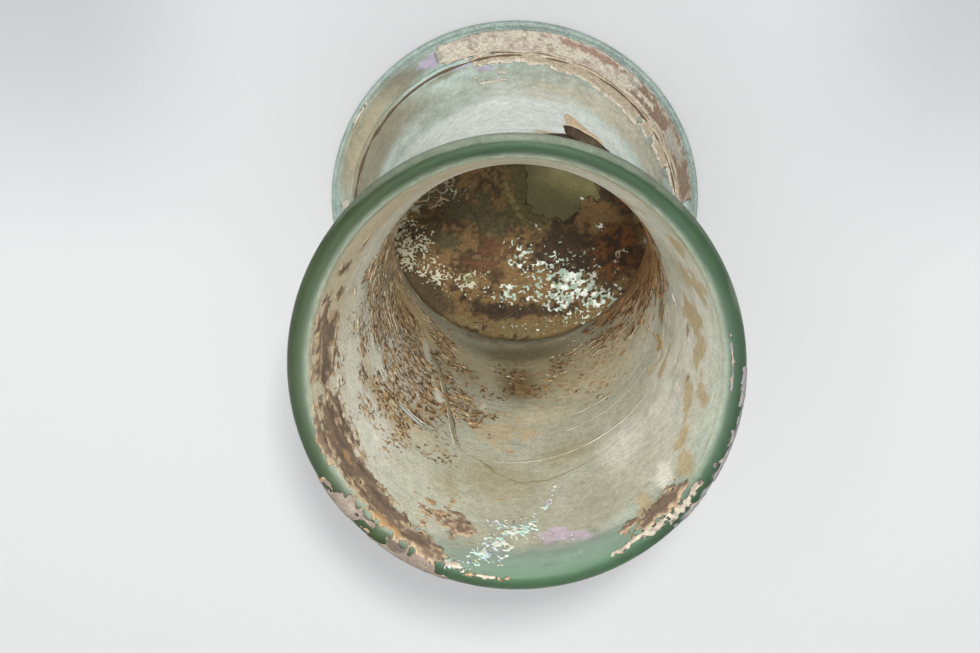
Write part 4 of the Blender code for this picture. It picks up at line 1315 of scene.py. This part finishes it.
# %% Floor crust
FLOOR_CELL = 0.30
WINDOW = np.array([(0.6, 9.0), (1.4, 11.2), (7, 11.8), (12.6, 11.0), (14.6, 6.0), (14.8, 3.6), (12.4, 1.4),
                   (9.8, 0.6), (8.6, -0.6), (6.2, -0.6), (3.4, 0.2), (1.1, 1.0)])
GREENISH = [(-10, 5, 9, 7, 1.0), (-4, 0, 7, 6, 0.9), (-14, -4, 6, 5, 0.7), (4, 15, 12, 4, 0.8)]
REDDISH = [(-8, 3, 4, 3, 0.8), (-4, -6, 5, 4, 0.8), (-14, -12, 6, 3, -30, 0.7), (-6, -10, 5, 3, 0.7)]
NEARLY_BLACK = [(8, -6.5, 7, 6.5, -10, 1.2), (0, -19.3, 12, 1.8, 1.2), (-8, -18, 6, 2, -20, 0.9),
                (19, 6, 5, 4, 0.8)]
RUST_STAINS = [(18, -7, 4.5, 6, 1.1), (-9.5, -22.6, 4, 1.4, -10, 1.1), (20, 1, 3, 4, 0.9),
               (13, -16, 5, 3, 0.6)]
YELLOW = [(-1.3, 2.4, 0.8, 4.2, 25, 0.9), (-19.5, 1, 1.2, 2.0, 0.7), (24, 3, 1.0, 3, 0.9),
          (-9, -13, 5, 2.6, 0.55), (15, 8, 2, 1.4, 0.7), (3, -14, 4, 2, 0.4)]
TAN_BAND = [(0, -23.2, 11, 1.7, 1.1), (11, -21.4, 4, 1.4, 18, 0.9), (-10, -21.8, 5, 1.5, -16, 0.9),
            (23.6, -5.7, 1.4, 0.9, -60, 1.0)]
OLIVE_EDGE = [(-17.5, -16, 6.5, 3.0, -42, 1.3)]
BROWN, DARK_BROWN, RED_BROWN, OCHRE = (colour(code) for code in ("#7a6039", "#45331b", "#744a2c", "#8f8350"))
BLACK_BROWN, OLIVE_CRUST, WINDOW_OLIVE = colour("#2c1d0f"), colour("#4f4027"), colour("#56532f")
FLOOR_TAN, FLOOR_RUST, GREEN_BROWN = colour("#77673f"), colour("#74481c"), colour("#4b4a2f")


def window_distance(at):
    """Millimetres outside the window, for points on the floor."""
    flat = np.stack([at[..., 0] - HOLLOW_OFFSET, at[..., 1]], -1).reshape(-1, 2)
    return outline_distance(flat, WINDOW).reshape(at.shape[:-1])


def floor_field(at, angle, s):
    """Everywhere out to the corner but not in the window, whose edge frays into lumps."""
    rough = ragged(at, 1.3, 4, 101)
    window = window_distance(at) + 2.2 * rough + 1.8 * noise(at, 2.6, 102)
    return np.minimum(window, FLOOR_END - s + 0.6 * rough)


def floor_values(at, angle, s, cover):
    """Brown, darker and greener in clouds, with nearly black, ochre and rusty places and the tan band."""
    cloud, fine = ragged(at, 5.0, 4, 103), ragged(at, 1.2, 4, 105) + 0.5 * noise(at, 0.6, 106)
    stain = mixed(BROWN, DARK_BROWN, soft(cloud + 0.6 * fine, -0.2, 0.35))
    stain = mixed(stain, RED_BROWN, 0.6 * soft(on_floor(at, REDDISH) + cloud + 0.7 * fine, 0.3, 0.9))
    greener = on_floor(at, GREENISH) + noise(at, 3.0, 108) + 0.5 * fine
    stain = mixed(stain, GREEN_BROWN, 0.8 * soft(greener, 0.1, 0.9))
    blacker = on_floor(at, NEARLY_BLACK) + 0.5 * cloud + 0.4 * fine
    stain = mixed(stain, BLACK_BROWN, 0.85 * soft(blacker, 0.0, 0.6))
    rusty = mixed(BLACK_BROWN, FLOOR_RUST, soft(fine + 0.4 * cloud, -0.2, 0.6))
    stain = mixed(stain, rusty, 0.9 * soft(on_floor(at, RUST_STAINS) + 0.5 * cloud, 0.0, 0.5))
    stain = mixed(stain, OLIVE_CRUST, 0.9 * soft(on_floor(at, OLIVE_EDGE) + 0.4 * fine, 0.0, 0.5))
    left_of_window = soft(-window_distance(at) + 1.2 * fine, -5.0, -1.0) * soft(-at[..., 0], -9.0, -3.0)
    stain = mixed(stain, WINDOW_OLIVE, 0.95 * left_of_window)
    stain = mixed(stain, OCHRE, 0.75 * soft(on_floor(at, YELLOW) + 0.8 * fine, 0.1, 0.6))
    return {"stain": mixed(stain, FLOOR_TAN, 0.9 * soft(on_floor(at, TAN_BAND) + 1.3 * fine, 0.0, 0.5))}


FLOOR_CRUST = crust_material("iron_stained_soil_crust", 0.5, 0.55, 0.8)
sheet("floor_crust", floor_grid(FLOOR_END + 0.8, FLOOR_CELL), floor_field, 0.05, FLOOR_CRUST, floor_values,
      lumpy(0.14, 0.9, 107))

# %% [markdown]
# ## Flakes on the floor
# Here the glass has turned to pale mint scales that lift off. They are a crust of their own, with noise
# fine enough for holes like lace, and loose grains beside them. In the middle and on the right the grains
# join to scales, and on the left they stay apart and are cream from dust.

# %% Flakes on the floor
FLAKE_ZONES = [(0.5, -8.5, 2.6, 3.6, 10, 0.95), (-1.5, -15.5, 2.8, 3.8, 0.95),
               (7.5, -14, 5.4, 5.2, -20, 1.35), (14.5, -17.4, 4.4, 2.8, 20, 1.3),
               (-10, -13.5, 6, 3.0, 0.7), (-18.5, -7.5, 3.2, 3.6, 0.8), (-22.8, -3, 2.2, 6.0, 10, 1.0),
               (-20, -11, 3, 2.4, -40, 0.8), (12, 3.0, 1.8, 1.0, 0.6), (15, -2.5, 0.9, 0.9, 0.85),
               (7, -5.5, 0.4, 0.4, 1.0), (10, -9, 0.4, 0.4, 1.0), (14, -7, 0.4, 0.4, 1.0),
               (23.6, -5.7, 1.3, 0.9, -60, 0.9), (19, -12, 2.4, 2.4, 0.5), (2, -2.5, 4, 2.4, 0.35),
               (15, 7.0, 1.4, 1.0, 0.5)]
SPECKLED = [(-22.5, -1, 3.0, 5.5, 15, 1.25), (-21, -7, 3.8, 4.8, -30, 1.3), (-16, -12, 5.0, 3.0, -40, 1.1),
            (-12, 5, 6, 5, 0.3), (0, -22.6, 11, 1.6, 0.55)]
FLAKE_MINT, FLAKE_WHITE, FLAKE_CREAM = colour("#9dad9a"), colour("#e9efe4"), colour("#c9c6aa")


def flake_field(at, angle, s):
    """Lacy: the zones plus fine noise, less round holes where a second noise is high, and loose grains."""
    coarse = 0.3 * noise(at, 2.0, 111) + 0.6 * noise(at, 0.95, 112)
    lace = coarse * soft(at[..., 0], -16, -6) + 0.9 * noise(at, 0.5, 113) + 0.8 * noise(at, 0.28, 114)
    holes = 2.6 * np.clip(noise(at, 0.8, 117) - 0.15, 0, 1)
    grains = on_floor(at, SPECKLED) + 0.8 * noise(at, 0.42, 118) + 0.9 * noise(at, 0.27, 119) - 0.8
    return np.minimum(np.maximum(on_floor(at, FLAKE_ZONES) + lace - holes - 0.6, grains), FLOOR_END - s)


def flake_values(at, angle, s, cover):
    """Mint in the thick of a flake, white in grains, cream towards the left."""
    grains = ragged(at, 0.8, 3, 121)
    stain = mixed(FLAKE_MINT, FLAKE_WHITE, soft(grains, -0.15, 0.35))
    return {"stain": mixed(stain, FLAKE_CREAM, soft(-at[..., 0] / 12 + 0.8 * grains, 0.1, 0.9))}


FLAKES = crust_material("altered_glass_flakes", 0.3, 0.25, 0.6)
sheet("floor_flakes", floor_grid(FLOOR_END + 0.3, 0.13), flake_field, 0.12, FLAKES, flake_values,
      lumpy(0.14, 0.5, 125, 0.3))

# %% [markdown]
# ## Fibres on the floor
# Root hairs or fungus left a pale mat at the left edge of the floor. Drawing each hair would take long,
# but a smooth noise is close to zero along thin curling lines, so those lines are the hairs.

# %% Fibres on the floor
HAIR_WIDTH = 0.12
FIBRE_ZONE = [(-17, 4.2, 5.6, 3.2, 12, 1.0), (-20, 9, 3.0, 3.0, 30, 0.7), (19.5, -8, 2.6, 2.2, 0.5)]


def matted_field(at, angle, s):
    """Thin curls: the lines where two noises are close to zero."""
    zone = on_floor(at, FIBRE_ZONE) + 0.3 * ragged(at, 2.0, 2, 131)
    curls = HAIR_WIDTH - np.minimum(np.abs(noise(at, 1.7, 133)), np.abs(noise(at, 1.2, 135)))
    return np.minimum(np.minimum(curls * 6, zone * 2), FLOOR_END - s)


def matted_values(at, angle, s, cover):
    """Lime white to tan."""
    return {"stain": mixed(LIME, CRUST_TAN, 0.5 + ragged(at, 1.5, 2, 137))}


sheet("floor_fibres", floor_grid(FLOOR_END + 0.3, 0.2), matted_field, 0.16, SOIL_CRUST, matted_values,
      lumpy(0.22, 0.7, 139, 0.3))

# %% [markdown]
# ## Iridescent flakes
# Just inside the lip, away from the break, the film has split into layers as thin as the length of a
# light wave. They shine mint, white, yellow, lilac and blue, as a soap film does. The sheet is broken
# up finely, and each grain takes its tint from noise. A thin clear coat gives the wet sparkle.

# %% Iridescent flakes on the wall
BRIGHT_ZONES = [(-100, IN(94.3), 3.0, 2.0, 20, 0.9), (-95, IN(91.5), 3.0, 2.4, 1.0),
                (-91, IN(89), 3.2, 2.2, 1.0), (-96, IN(87), 2.4, 2.0, 0.85),
                (-86, IN(87.5), 2.0, 2.8, 20, 0.85), (-80, IN(83), 1.0, 3.4, 20, 0.7),
                (-77, IN(78.5), 0.7, 2.2, 10, 0.6), (-104, IN(96.6), 4.0, 0.9, 0.7),
                (-108, LIP_TOP - 1.2, 1.8, 0.9, 0.9), (-76, IN(91), 4.5, 1.2, 22, 0.45)]
SHEENS = [colour(code) for code in ("#b5cdc2", "#cfd2c5", "#cabd88", "#b4adc4", "#93b4ba")]
SHEEN_CHANCES = (0.25, 0.35, 0.0, 0.0, 0.0)
COAT_WEIGHT, COAT_ROUGHNESS = 0.25, 0.15


def bright_field(at, angle, s):
    """Finely broken patches."""
    return on_wall(angle, s, BRIGHT_ZONES) + 0.6 * noise(at, 0.7, 141) + 0.9 * noise(at, 0.36, 142) - 0.5


def bright_values(at, angle, s, cover):
    """One of the sheens in each grain: the strongest of as many noises, each with its own head start."""
    votes = [noise(at, 0.8, 150 + k) + 0.5 * noise(at, 3.0, 160 + k) for k in range(len(SHEENS))]
    return {"stain": np.array(SHEENS)[np.argmax(np.stack(votes, -1) + SHEEN_CHANCES, -1)]}


def sheen_material():
    """Split silica layers: pale tints from the points under a thin glossy coat."""
    material = crust_material("iridescent_silica_flakes", 0.3, 0.2, 0.35)
    shader = material.node_tree.nodes["Principled BSDF"]
    shader.inputs["Coat Weight"].default_value = COAT_WEIGHT
    shader.inputs["Coat Roughness"].default_value = COAT_ROUGHNESS
    return material


sheet("bright_flakes", wall_grid((-115, -65), (IN(75), LIP_TOP + 0.8), 0.15), bright_field, 0.08,
      sheen_material(), bright_values, lumpy(0.16, 0.6, 143, 0.3))

# %% [markdown]
# ## Crust on the foot
# The steep band of the foot, between its two thin ridges, carries the thickest lime: cream to pink, with
# brown windows where it came off, and ragged along the ridges. A second strip lies on the upper ridge,
# and smaller scales above it. Straight boxes suit the strips better than ovals do, since the ridges stop
# them. The same sheet makes the tan edge of the break, and a few scales on the side that nobody sees.

# %% Foot crust
BAND = [(2, 115.5, OUT(7.9), OUT(2.35)), (112, 117, OUT(6.6), OUT(3.4))]
ABOVE_BAND = [(4, 107, OUT(9.2), OUT(7.7)), (10, 19, OUT(9.6), OUT(7.9)), (18, 30, OUT(11.2), OUT(7.9)),
              (31, 38, OUT(11.0), OUT(7.9)), (39, 62, OUT(11.5), OUT(7.9)), (58, 87, OUT(10.7), OUT(7.9)),
              (82, 106, OUT(10.4), OUT(7.9))]
SCALES = [(172, OUT(7.5), 3, 0.6, 1.0), (179, OUT(5), 1.6, 2, 0.9), (150, OUT(2.2), 3, 0.6, 0.7),
          (99, OUT(14.6), 3.6, 0.7, 0.9), (95, OUT(12.4), 1.6, 0.6, 0.7), (105, OUT(12.8), 1.2, 0.5, 0.7),
          (48, OUT(14), 4, 1.0, 0.4)]
HIDDEN_CRUST = [(-60, OUT(6), 7, 2.4, 0.9), (-95, OUT(5), 8, 2.0, 0.9), (-130, OUT(6), 5, 2.2, 0.8),
                (-75, OUT(30), 6, 5, 10, 0.7), (-120, OUT(62), 7, 5, -10, 0.7), (-30, OUT(52), 5, 4, 0.6),
                (-160, OUT(24), 5, 6, 0.7), (140, OUT(70), 6, 4, 0.6), (60, OUT(76), 6, 3, 0.6)]
BREAK_EDGE = [(52, OUT(33.8)), (69.5, OUT(34.4)), (70.5, OUT(30)), (69.5, OUT(25.3)), (62, OUT(29.6))]
BROWN_WINDOWS = [(3, 16, OUT(7.2), OUT(3.0)), (15, 21, OUT(7.4), OUT(5.6)), (28, 38, OUT(7.2), OUT(3.2)),
                 (36, 45, OUT(4.9), OUT(3.0)), (37, 48, OUT(7.3), OUT(5.7)), (50, 53, OUT(4.4), OUT(3.0)),
                 (5, 46, OUT(3.3), OUT(2.6)), (105, 107, OUT(5.9), OUT(5.1))]
RED_WINDOWS = [(54, 76, OUT(4.8), OUT(2.9))]
RIDGE_SIDE = 8.2
GREY_WINDOWS = [(16, 28, OUT(6.8), OUT(3.6)), (44, 50, OUT(5.4), OUT(3.6)), (114, 118, OUT(6.4), OUT(3.6))]
GREYISH, BREAK_TAN, WINDOW_RED, ABOVE_TAN = (
    colour(code) for code in ("#9b9789", "#c6ae8d", "#957a69", "#a4967f"))


def foot_field(at, angle, s):
    """The closed band and what sits on the ridge above it, ragged patches, and the break's edge."""
    rough, fine = ragged(at, 2.0, 5, 171), ragged(at, 0.9, 4, 173)
    band = bars(angle, s, BAND) + 0.5 * rough
    above = bars(angle, s, ABOVE_BAND) + 1.1 * rough + 0.8 * fine - 0.15
    spots = on_wall(angle, s, SCALES + HIDDEN_CRUST) + 0.75 * rough + 0.4 * fine - 0.1
    return np.maximum.reduce([band, above, spots, in_outline(angle, s, BREAK_EDGE) + 0.7 * rough])


def foot_values(at, angle, s, cover):
    """Cream and pink in drifts, brown, red and grey windows, and tan at thin places and by the break."""
    drift, fine = ragged(at, 3.0, 3, 175), 0.7 * ragged(at, 0.9, 3, 177) + 0.6 * noise(at, 0.5, 179)
    stain = mixed(LIME, PINK, soft(drift + 0.8 * fine, -0.1, 0.6))
    stain = mixed(stain, CRUST_TAN, 0.6 * soft(fine - cover, -0.25, 0.3))
    browner = fine + 0.9 * noise(at, 0.8, 183) + 0.9 * soft(-angle, -1.0, -0.4)
    stain = mixed(stain, UMBER, 0.55 * soft(browner, 0.35, 0.9))
    above = soft(OUT(RIDGE_SIDE) - s, 0.0, 0.3)
    stain = mixed(stain, mixed(ABOVE_TAN, LIME, soft(0.7 - cover + fine, 0.0, 0.5)), above)
    umber = mixed(GREY_BROWN, UMBER, 0.5 + fine)
    for shade, boxes in ((GREYISH, GREY_WINDOWS), (WINDOW_RED, RED_WINDOWS), (umber, BROWN_WINDOWS)):
        stain = mixed(stain, shade, soft(bars(angle, s, boxes) + fine + 0.4 * drift, -0.1, 0.45))
    return {"stain": mixed(stain, BREAK_TAN, soft(in_outline(angle, s, BREAK_EDGE), -1.0, -0.2))}


FOOT_CRUST = crust_material("lime_crust_on_the_foot", 0.5, 0.5, 0.85)
sheet("foot_crust", wall_grid((-180, 180), (OUT(80), FOOT_EDGE - 0.5), 0.38), foot_field, CRUST_LIFT,
      FOOT_CRUST, foot_values, lumpy(0.28, 1.0, 181))

# %% [markdown]
# ## Soil and painted shade on the broken edges
# The break happened in the ground or before it. The faces that the cut made are those whose corners all lie
# on the outline of the break. A copy of them, a hair above the glass, is dark brown: partly soil, and partly
# painted shade, which stands in for the dark inside of the vessel seen through the break. A copy of the faces
# at the narrow crack is pale grey: painted light, where light shines through the crack.

# %% Soil and painted shade on the broken edges
EDGE_LIFT = 0.03
EDGE_DARK, EDGE_OLIVE, EDGE_RED = (colour(code) for code in ("#32261a", "#463b22", "#5c412e"))
CRACK_EDGE_PAINTED_LIGHT = colour("#a9aca1")
normals = np.empty(len(cut.polygons) * 3)
cut.polygons.foreach_get("normal", normals)
normals = normals.reshape(-1, 3)


def cut_edge(gaps):
    """Points and faces of a copy of what the cut made at some gaps, every face lifted along its normal."""
    on_edge = gap_distance(glass_at, gaps) < EDGE_REACH
    chosen = [face for face in cut.polygons if on_edge[list(face.vertices)].all()]
    lifted = [glass_at[list(face.vertices)] + EDGE_LIFT * normals[face.index] for face in chosen]
    counts = np.cumsum([0] + [len(face.vertices) for face in chosen])
    return np.concatenate(lifted), [list(range(a, b)) for a, b in zip(counts, counts[1:])]


edge_points, edge_faces = cut_edge(GAPS[:1])
cloud = ragged(edge_points, 2.0, 3, 191)
# Dark brown on the broken faces: partly soil, and partly painted shade for the dark inside seen through the
# break.
edge_soil_and_shade = mixed(mixed(EDGE_OLIVE, EDGE_DARK, soft(cloud, -0.4, 0.1)), EDGE_RED, soft(cloud, 0.15, 0.5))
new_object("broken_edge_soil_and_shade", edge_points, edge_faces, SOIL_CRUST, {"stain": edge_soil_and_shade})
# The narrow cracks' own faces are pale grey: painted light, where light shines through the cracks.
edge_points, edge_faces = cut_edge(GAPS[1:])
new_object("crack_edge_painted_light", edge_points, edge_faces, SOIL_CRUST,
           {"stain": np.tile(CRACK_EDGE_PAINTED_LIGHT, (len(edge_points), 1))})

# %% [markdown]
# ## Cracks and scratches
# A long crack climbs the left of the inner wall and then runs round it. It is closed, and shows as an olive
# band where dirt filled it, with a painted highlight along one side and painted shade along the other. Both
# open slits get a white bead, which is painted light shining through them, and the front slit has dark lines
# above and below it, which are painted shade. Fine rings are marks of the tool that opened the mouth; their
# pale beads are painted highlights where they catch the light, with painted shade beside three of them, and
# the pale lines on the foot share that colour. Brown lines follow the ridges of the foot. Each is a low bead
# along a path: the path comes first, and an arched section follows it. The section's points go across from
# side to side in half widths, and up in shares of the height.

# %% Beads along a path
BEAD_ACROSS = np.array([-1.0, -0.55, 0.0, 0.55, 1.0, 0.0])
BEAD_UP = np.array([0.0, 0.75, 1.0, 0.75, 0.0, 0.0])
BEAD_STEP, BEAD_BASE = 0.45, 0.1
LOOP_KNOTS = 13
FIRST_SEED, SEED_STEP = 200, 20


def bead(knots, width, height, wobble, seed):
    """Points and faces of a low bead, pointed at both ends, along knots of (degrees, length).

    The path runs straight from knot to knot, and noise bends it by wobble mm.
    """
    knots = np.array([(math.radians(degrees) * ARC_RADIUS, at) for degrees, at in knots])
    run = np.r_[0, np.cumsum(np.hypot(*np.diff(knots, axis=0).T))]
    t = np.linspace(0, run[-1], max(4, round(run[-1] / BEAD_STEP)))
    path = np.c_[np.interp(t, run, knots[:, 0]), np.interp(t, run, knots[:, 1])]
    at = np.c_[t, np.zeros((len(t), 2))]
    path = path + wobble * np.c_[ragged(at, 3.0, 3, seed), ragged(at, 3.0, 3, seed + 5)]
    tangent = np.gradient(path, axis=0)
    tangent = tangent / np.hypot(*tangent.T)[:, None]
    taper = np.sqrt(np.clip(np.minimum(t, t[-1] - t) / (3 * width), 0.02, 1))
    taper = taper * (0.75 + 0.5 * noise(at, 2.0, seed + 8))
    over = BEAD_ACROSS * width / 2 * taper[:, None]
    angle = (path[:, :1] - tangent[:, 1:] * over) / ARC_RADIUS
    s = path[:, 1:] + tangent[:, :1] * over
    points = place(angle, s, BEAD_BASE + BEAD_UP * height * taper[:, None])
    ring, count = len(BEAD_ACROSS), len(t)
    strip = quads(count, ring, True)[:, ::-1].tolist()
    caps = [list(range(ring))[::-1], [(count - 1) * ring + k for k in range(ring)]]
    return points.reshape(-1, 3), strip + caps


def beads(name, paths, material, stain):
    """Several beads as one piece. A path is (knots, width, height, wobble)."""
    points, faces, first = [], [], 0
    for number, (knots, width, height, wobble) in enumerate(paths):
        some_points, some_faces = bead(knots, width, height, wobble, FIRST_SEED + SEED_STEP * number)
        points.append(some_points)
        faces += [[corner + first for corner in face] for face in some_faces]
        first += len(some_points)
    points = np.concatenate(points)
    return new_object(name, points, faces, material, {"stain": np.tile(stain, (len(points), 1))})


def offset(knots, degrees, length):
    """The same path moved round by degrees and along the outline by length."""
    return [(angle + degrees, s + length) for angle, s in knots]


def loop(degrees, z, wide, tall):
    """Knots once round an oval on the wall, a little past where they began."""
    turns = np.radians(np.linspace(20, 375, LOOP_KNOTS))
    round_it = [math.degrees(wide * math.cos(t) / ARC_RADIUS) for t in turns]
    return [(degrees + across, IN(z) + tall * math.sin(t)) for across, t in zip(round_it, turns)]


def level(z, *degrees):
    """Knots at one height on the outside, at some angles."""
    return [(angle, OUT(z)) for angle in degrees]


# %% [markdown]
# ## The paths
# The crack and the slit are read from the photograph as a few knots, and the lines of painted highlight and
# painted shade beside them are the same knots moved over. The lines on the foot lie level, so one height and
# a few angles are enough for each. A bead on the upper ridge hides the line where the strips of crust meet.

# %% Cracks, rings and lines
CRACK = [(-142, IN(33)), (-136, IN(40)), (-128, IN(48)), (-121, IN(59)), (-114, IN(69.5))]
ROUND_CRACK = [(-114, IN(69.5)), (-104, IN(71.5)), (-97, IN(74.6)), (-90, IN(76.3)), (-80, IN(76.6)),
               (-70, IN(75.6)), (-60, IN(74.6)), (-50, IN(73.8))]
SLIT = [(-143, IN(68.9)), (-139, IN(68.65)), (-134, IN(68.5)), (-129, IN(68.25)), (-124.5, IN(68.0))]
SIDE_SLIT = [(4.6, IN(71.6)), (6.4, IN(70.0)), (8.0, IN(68.4))]
RINGS = [[(-100, IN(71.0)), (-80, IN(70.4)), (-60, IN(69.8)), (-30, IN(69.3))],
         [(-72, IN(63.2)), (-50, IN(63.0)), (-28, IN(62.9))],
         [(-66, IN(58.7)), (-45, IN(58.9)), (-22, IN(59.0))],
         [(-29, IN(67.8)), (-29.4, IN(70)), (-29, IN(72))], [(-160, IN(68.8)), (-146, IN(68.6))],
         [(-20, IN(66)), (-12, IN(64.5)), (-6, IN(62))]]
RIDGE_LINES = [(level(8.75, 0, 30, 60, 90, 116, 150, 181), 0.7, 0.32, 0.15),
               (level(8.35, 12, 40, 70, 104), 0.2, 0.3, 0.2), (level(2.8, 0, 20), 0.3, 0.06, 0.2),
               ([(45, OUT(2.75)), (80, OUT(2.7)), (115, OUT(2.8))], 0.3, 0.06, 0.25)]
RIDGE_CORD = [(level(7.9, 3, 30, 60, 90, 113), 0.5, 0.36, 0.1)]
FOOT_LINES = [([(176, OUT(3.4)), (180, OUT(5.2)), (184, OUT(6.4)), (190, OUT(6.6))], 0.35, 0.12, 0.3),
              ([(166, OUT(7.2)), (172, OUT(7.7)), (178, OUT(7.3))], 0.4, 0.12, 0.2),
              ([(113.5, OUT(7.0)), (116, OUT(5.4)), (114.5, OUT(3.2))], 0.3, 0.1, 0.15)]
LOOPS = [(-137, 57.5, 2.8, 2.0), (-143.5, 53.0, 2.0, 1.2), (-141.5, 49.5, 1.0, 1.0)]

CRACK_OLIVE, CRACK_PAINTED_HIGHLIGHT, CRACK_AND_SLIT_PAINTED_SHADE, ROUND_OLIVE = (
    colour(code) for code in ("#8d876b", "#d6cfb6", "#5a4c33", "#8d8560"))
SLIT_PAINTED_LIGHT, LOOP_BROWN, LINE_BROWN, CORD_TAN = (
    colour(code) for code in ("#e9ebe4", "#6f5a41", "#594733", "#b7a996"))
SCRATCH_HIGHLIGHTS_AND_PALE_LINES, SCRATCH_PAINTED_SHADE = colour("#d9d3bf"), colour("#877f64")

beads("closed_crack", [(CRACK[1:], 0.9, 0.09, 0.3), (CRACK[:2], 0.3, 0.05, 0.4)], SOIL_CRUST, CRACK_OLIVE)
# Painted highlight: a pale line along one side of the crack.
beads("crack_painted_highlight", [(offset(CRACK[2:], -1.3, 0), 0.26, 0.08, 0.3)], SOIL_CRUST, CRACK_PAINTED_HIGHLIGHT)
# Painted shade: a dark line along the other side of the crack, and above and below the front slit.
beads("crack_and_slit_painted_shade", [(offset(CRACK[1:], 1.2, 0), 0.2, 0.06, 0.3),
                          (offset(SLIT, 0, 1.25), 0.16, 0.05, 0.1),
                          (offset(SLIT[1:], 0, -0.6), 0.5, 0.06, 0.2)], SOIL_CRUST, CRACK_AND_SLIT_PAINTED_SHADE)
beads("crack_round", [(ROUND_CRACK[:3], 0.3, 0.05, 0.4), (ROUND_CRACK[1:6], 0.55, 0.05, 0.35),
                      (ROUND_CRACK[4:], 0.3, 0.04, 0.4)], SOIL_CRUST, ROUND_OLIVE)
# Painted light: white beads along both open slits, where light shines through them.
beads("slit_painted_light", [(SLIT[:4], 0.26, 0.06, 0.1), (SIDE_SLIT, 0.5, 0.08, 0.1)], SOIL_CRUST, SLIT_PAINTED_LIGHT)
beads("brown_loops", [(loop(*size), 0.3, 0.09, 0.25) for size in LOOPS], SOIL_CRUST, LOOP_BROWN)
beads("ridge_lines", RIDGE_LINES, SOIL_CRUST, LINE_BROWN)
beads("ridge_cord", RIDGE_CORD, FOOT_CRUST, CORD_TAN)
# Painted highlights: pale beads on the fine rings, where they catch the light; the pale lines on the foot
# share the colour.
beads("scratch_highlights_and_pale_lines", [(path, 0.17, 0.04, 0.12) for path in RINGS] + FOOT_LINES, SOIL_CRUST, SCRATCH_HIGHLIGHTS_AND_PALE_LINES)
# Painted shade: dark lines beside the first three rings.
beads("scratch_painted_shades", [(offset(path, 0.3, -0.32), 0.15, 0.03, 0.12) for path in RINGS[:3]], SOIL_CRUST,
      SCRATCH_PAINTED_SHADE)

# %% [markdown]
# ## Floor and light
# A pale floor carries the beaker. It is painted greyer beyond the beaker on the side of the break, most at
# both edges there: painted shade. Its light is that of a photographer's tent: a bright white sky all round, a
# small lamp high up on the side of the break, which reaches down the inner wall opposite and casts the soft
# shadow, a wide lamp above the mouth, and a weak one on the other side.

# %% Stage
# The second paper tone is painted shade, greyer beyond the beaker and towards both edges.
PAPER_LIGHT, PAPER_PAINTED_SHADE = "#b3b3b3", "#98999b"
FLOOR_HALF = 900.0
SHADED_FROM, SHADED_TO = -20.0, 45.0
SIDE_FROM, SIDE_TO, MIDDLE_SHADE = 45.0, 85.0, 0.3
PAPER_ROUGHNESS, PAPER_SHINE = 0.9, 0.2
SKY, SKY_STRENGTH = "#fbfcff", 0.60
LIT_AT = np.array([0.0, 0.0, 40.0])
LAMPS = (("key", (30, 284, 690), 55, 4.4), ("front", (-120, 60, 760), 560, 3.2),
         ("fill", (100, -200, 650), 500, 0.9))


def floor_material():
    """Matt paper with painted shade: greyer beyond the beaker on the break's side, most at both edges."""
    material, tree, shader = new_material("matt_white_paper")
    where = add(tree, "SeparateXYZ", {"Vector": add(tree, "TexCoord").outputs["Object"]})
    back = add(tree, "MapRange", {"Value": where.outputs["Y"], "From Min": SHADED_FROM * MM,
                                  "From Max": SHADED_TO * MM}, interpolation_type="SMOOTHSTEP")
    aside = add(tree, "Math", {0: where.outputs["X"]}, operation="ABSOLUTE")
    side = add(tree, "MapRange", {"Value": aside.outputs[0], "From Min": SIDE_FROM * MM,
                                  "From Max": SIDE_TO * MM, "To Min": MIDDLE_SHADE},
               interpolation_type="SMOOTHSTEP")
    shade = add(tree, "Math", {0: back.outputs["Result"], 1: side.outputs["Result"]}, operation="MULTIPLY")
    tone = add(tree, "Mix", {"Factor": shade.outputs[0], A_COLOUR: colour(PAPER_LIGHT),
                             B_COLOUR: colour(PAPER_PAINTED_SHADE)}, data_type="RGBA")
    tree.links.new(tone.outputs[RESULT], shader.inputs["Base Color"])
    shader.inputs["Roughness"].default_value = PAPER_ROUGHNESS
    shader.inputs["Specular IOR Level"].default_value = PAPER_SHINE
    return material


def soft_lamp(name, at, size, power):
    """A square lamp of size mm at a place in mm, facing the middle of the vessel."""
    data = bpy.data.lights.new(name, "AREA")
    data.energy, data.size = power, size * MM
    lamp = bpy.data.objects.new(name, data)
    bpy.context.scene.collection.objects.link(lamp)
    at = np.array(at, float)
    back = (at - LIT_AT) / np.linalg.norm(at - LIT_AT)
    side = np.cross((0, 0, 1), back)
    side = side / np.linalg.norm(side)
    turn = np.eye(4)
    turn[:3, 0], turn[:3, 1], turn[:3, 2], turn[:3, 3] = side, np.cross(back, side), back, at * MM
    lamp.matrix_world = Matrix(turn.tolist())


paper = bpy.data.meshes.new("floor")
corners = np.array([(-1, -1, 0), (1, -1, 0), (1, 1, 0), (-1, 1, 0)]) * FLOOR_HALF * MM
paper.from_pydata(corners.tolist(), [], [(0, 1, 2, 3)])
paper.materials.append(floor_material())
floor = bpy.data.objects.new("floor", paper)
bpy.context.scene.collection.objects.link(floor)
world = bpy.data.worlds.new("tent")
world.use_nodes = True
world.node_tree.nodes["Background"].inputs["Color"].default_value = colour(SKY)
world.node_tree.nodes["Background"].inputs["Strength"].default_value = SKY_STRENGTH
bpy.context.scene.world = world
for lamp in LAMPS:
    soft_lamp(*lamp)
bpy.context.scene.view_settings.view_transform = "Standard"
print("floor, sky and %d lamps" % len(LAMPS))
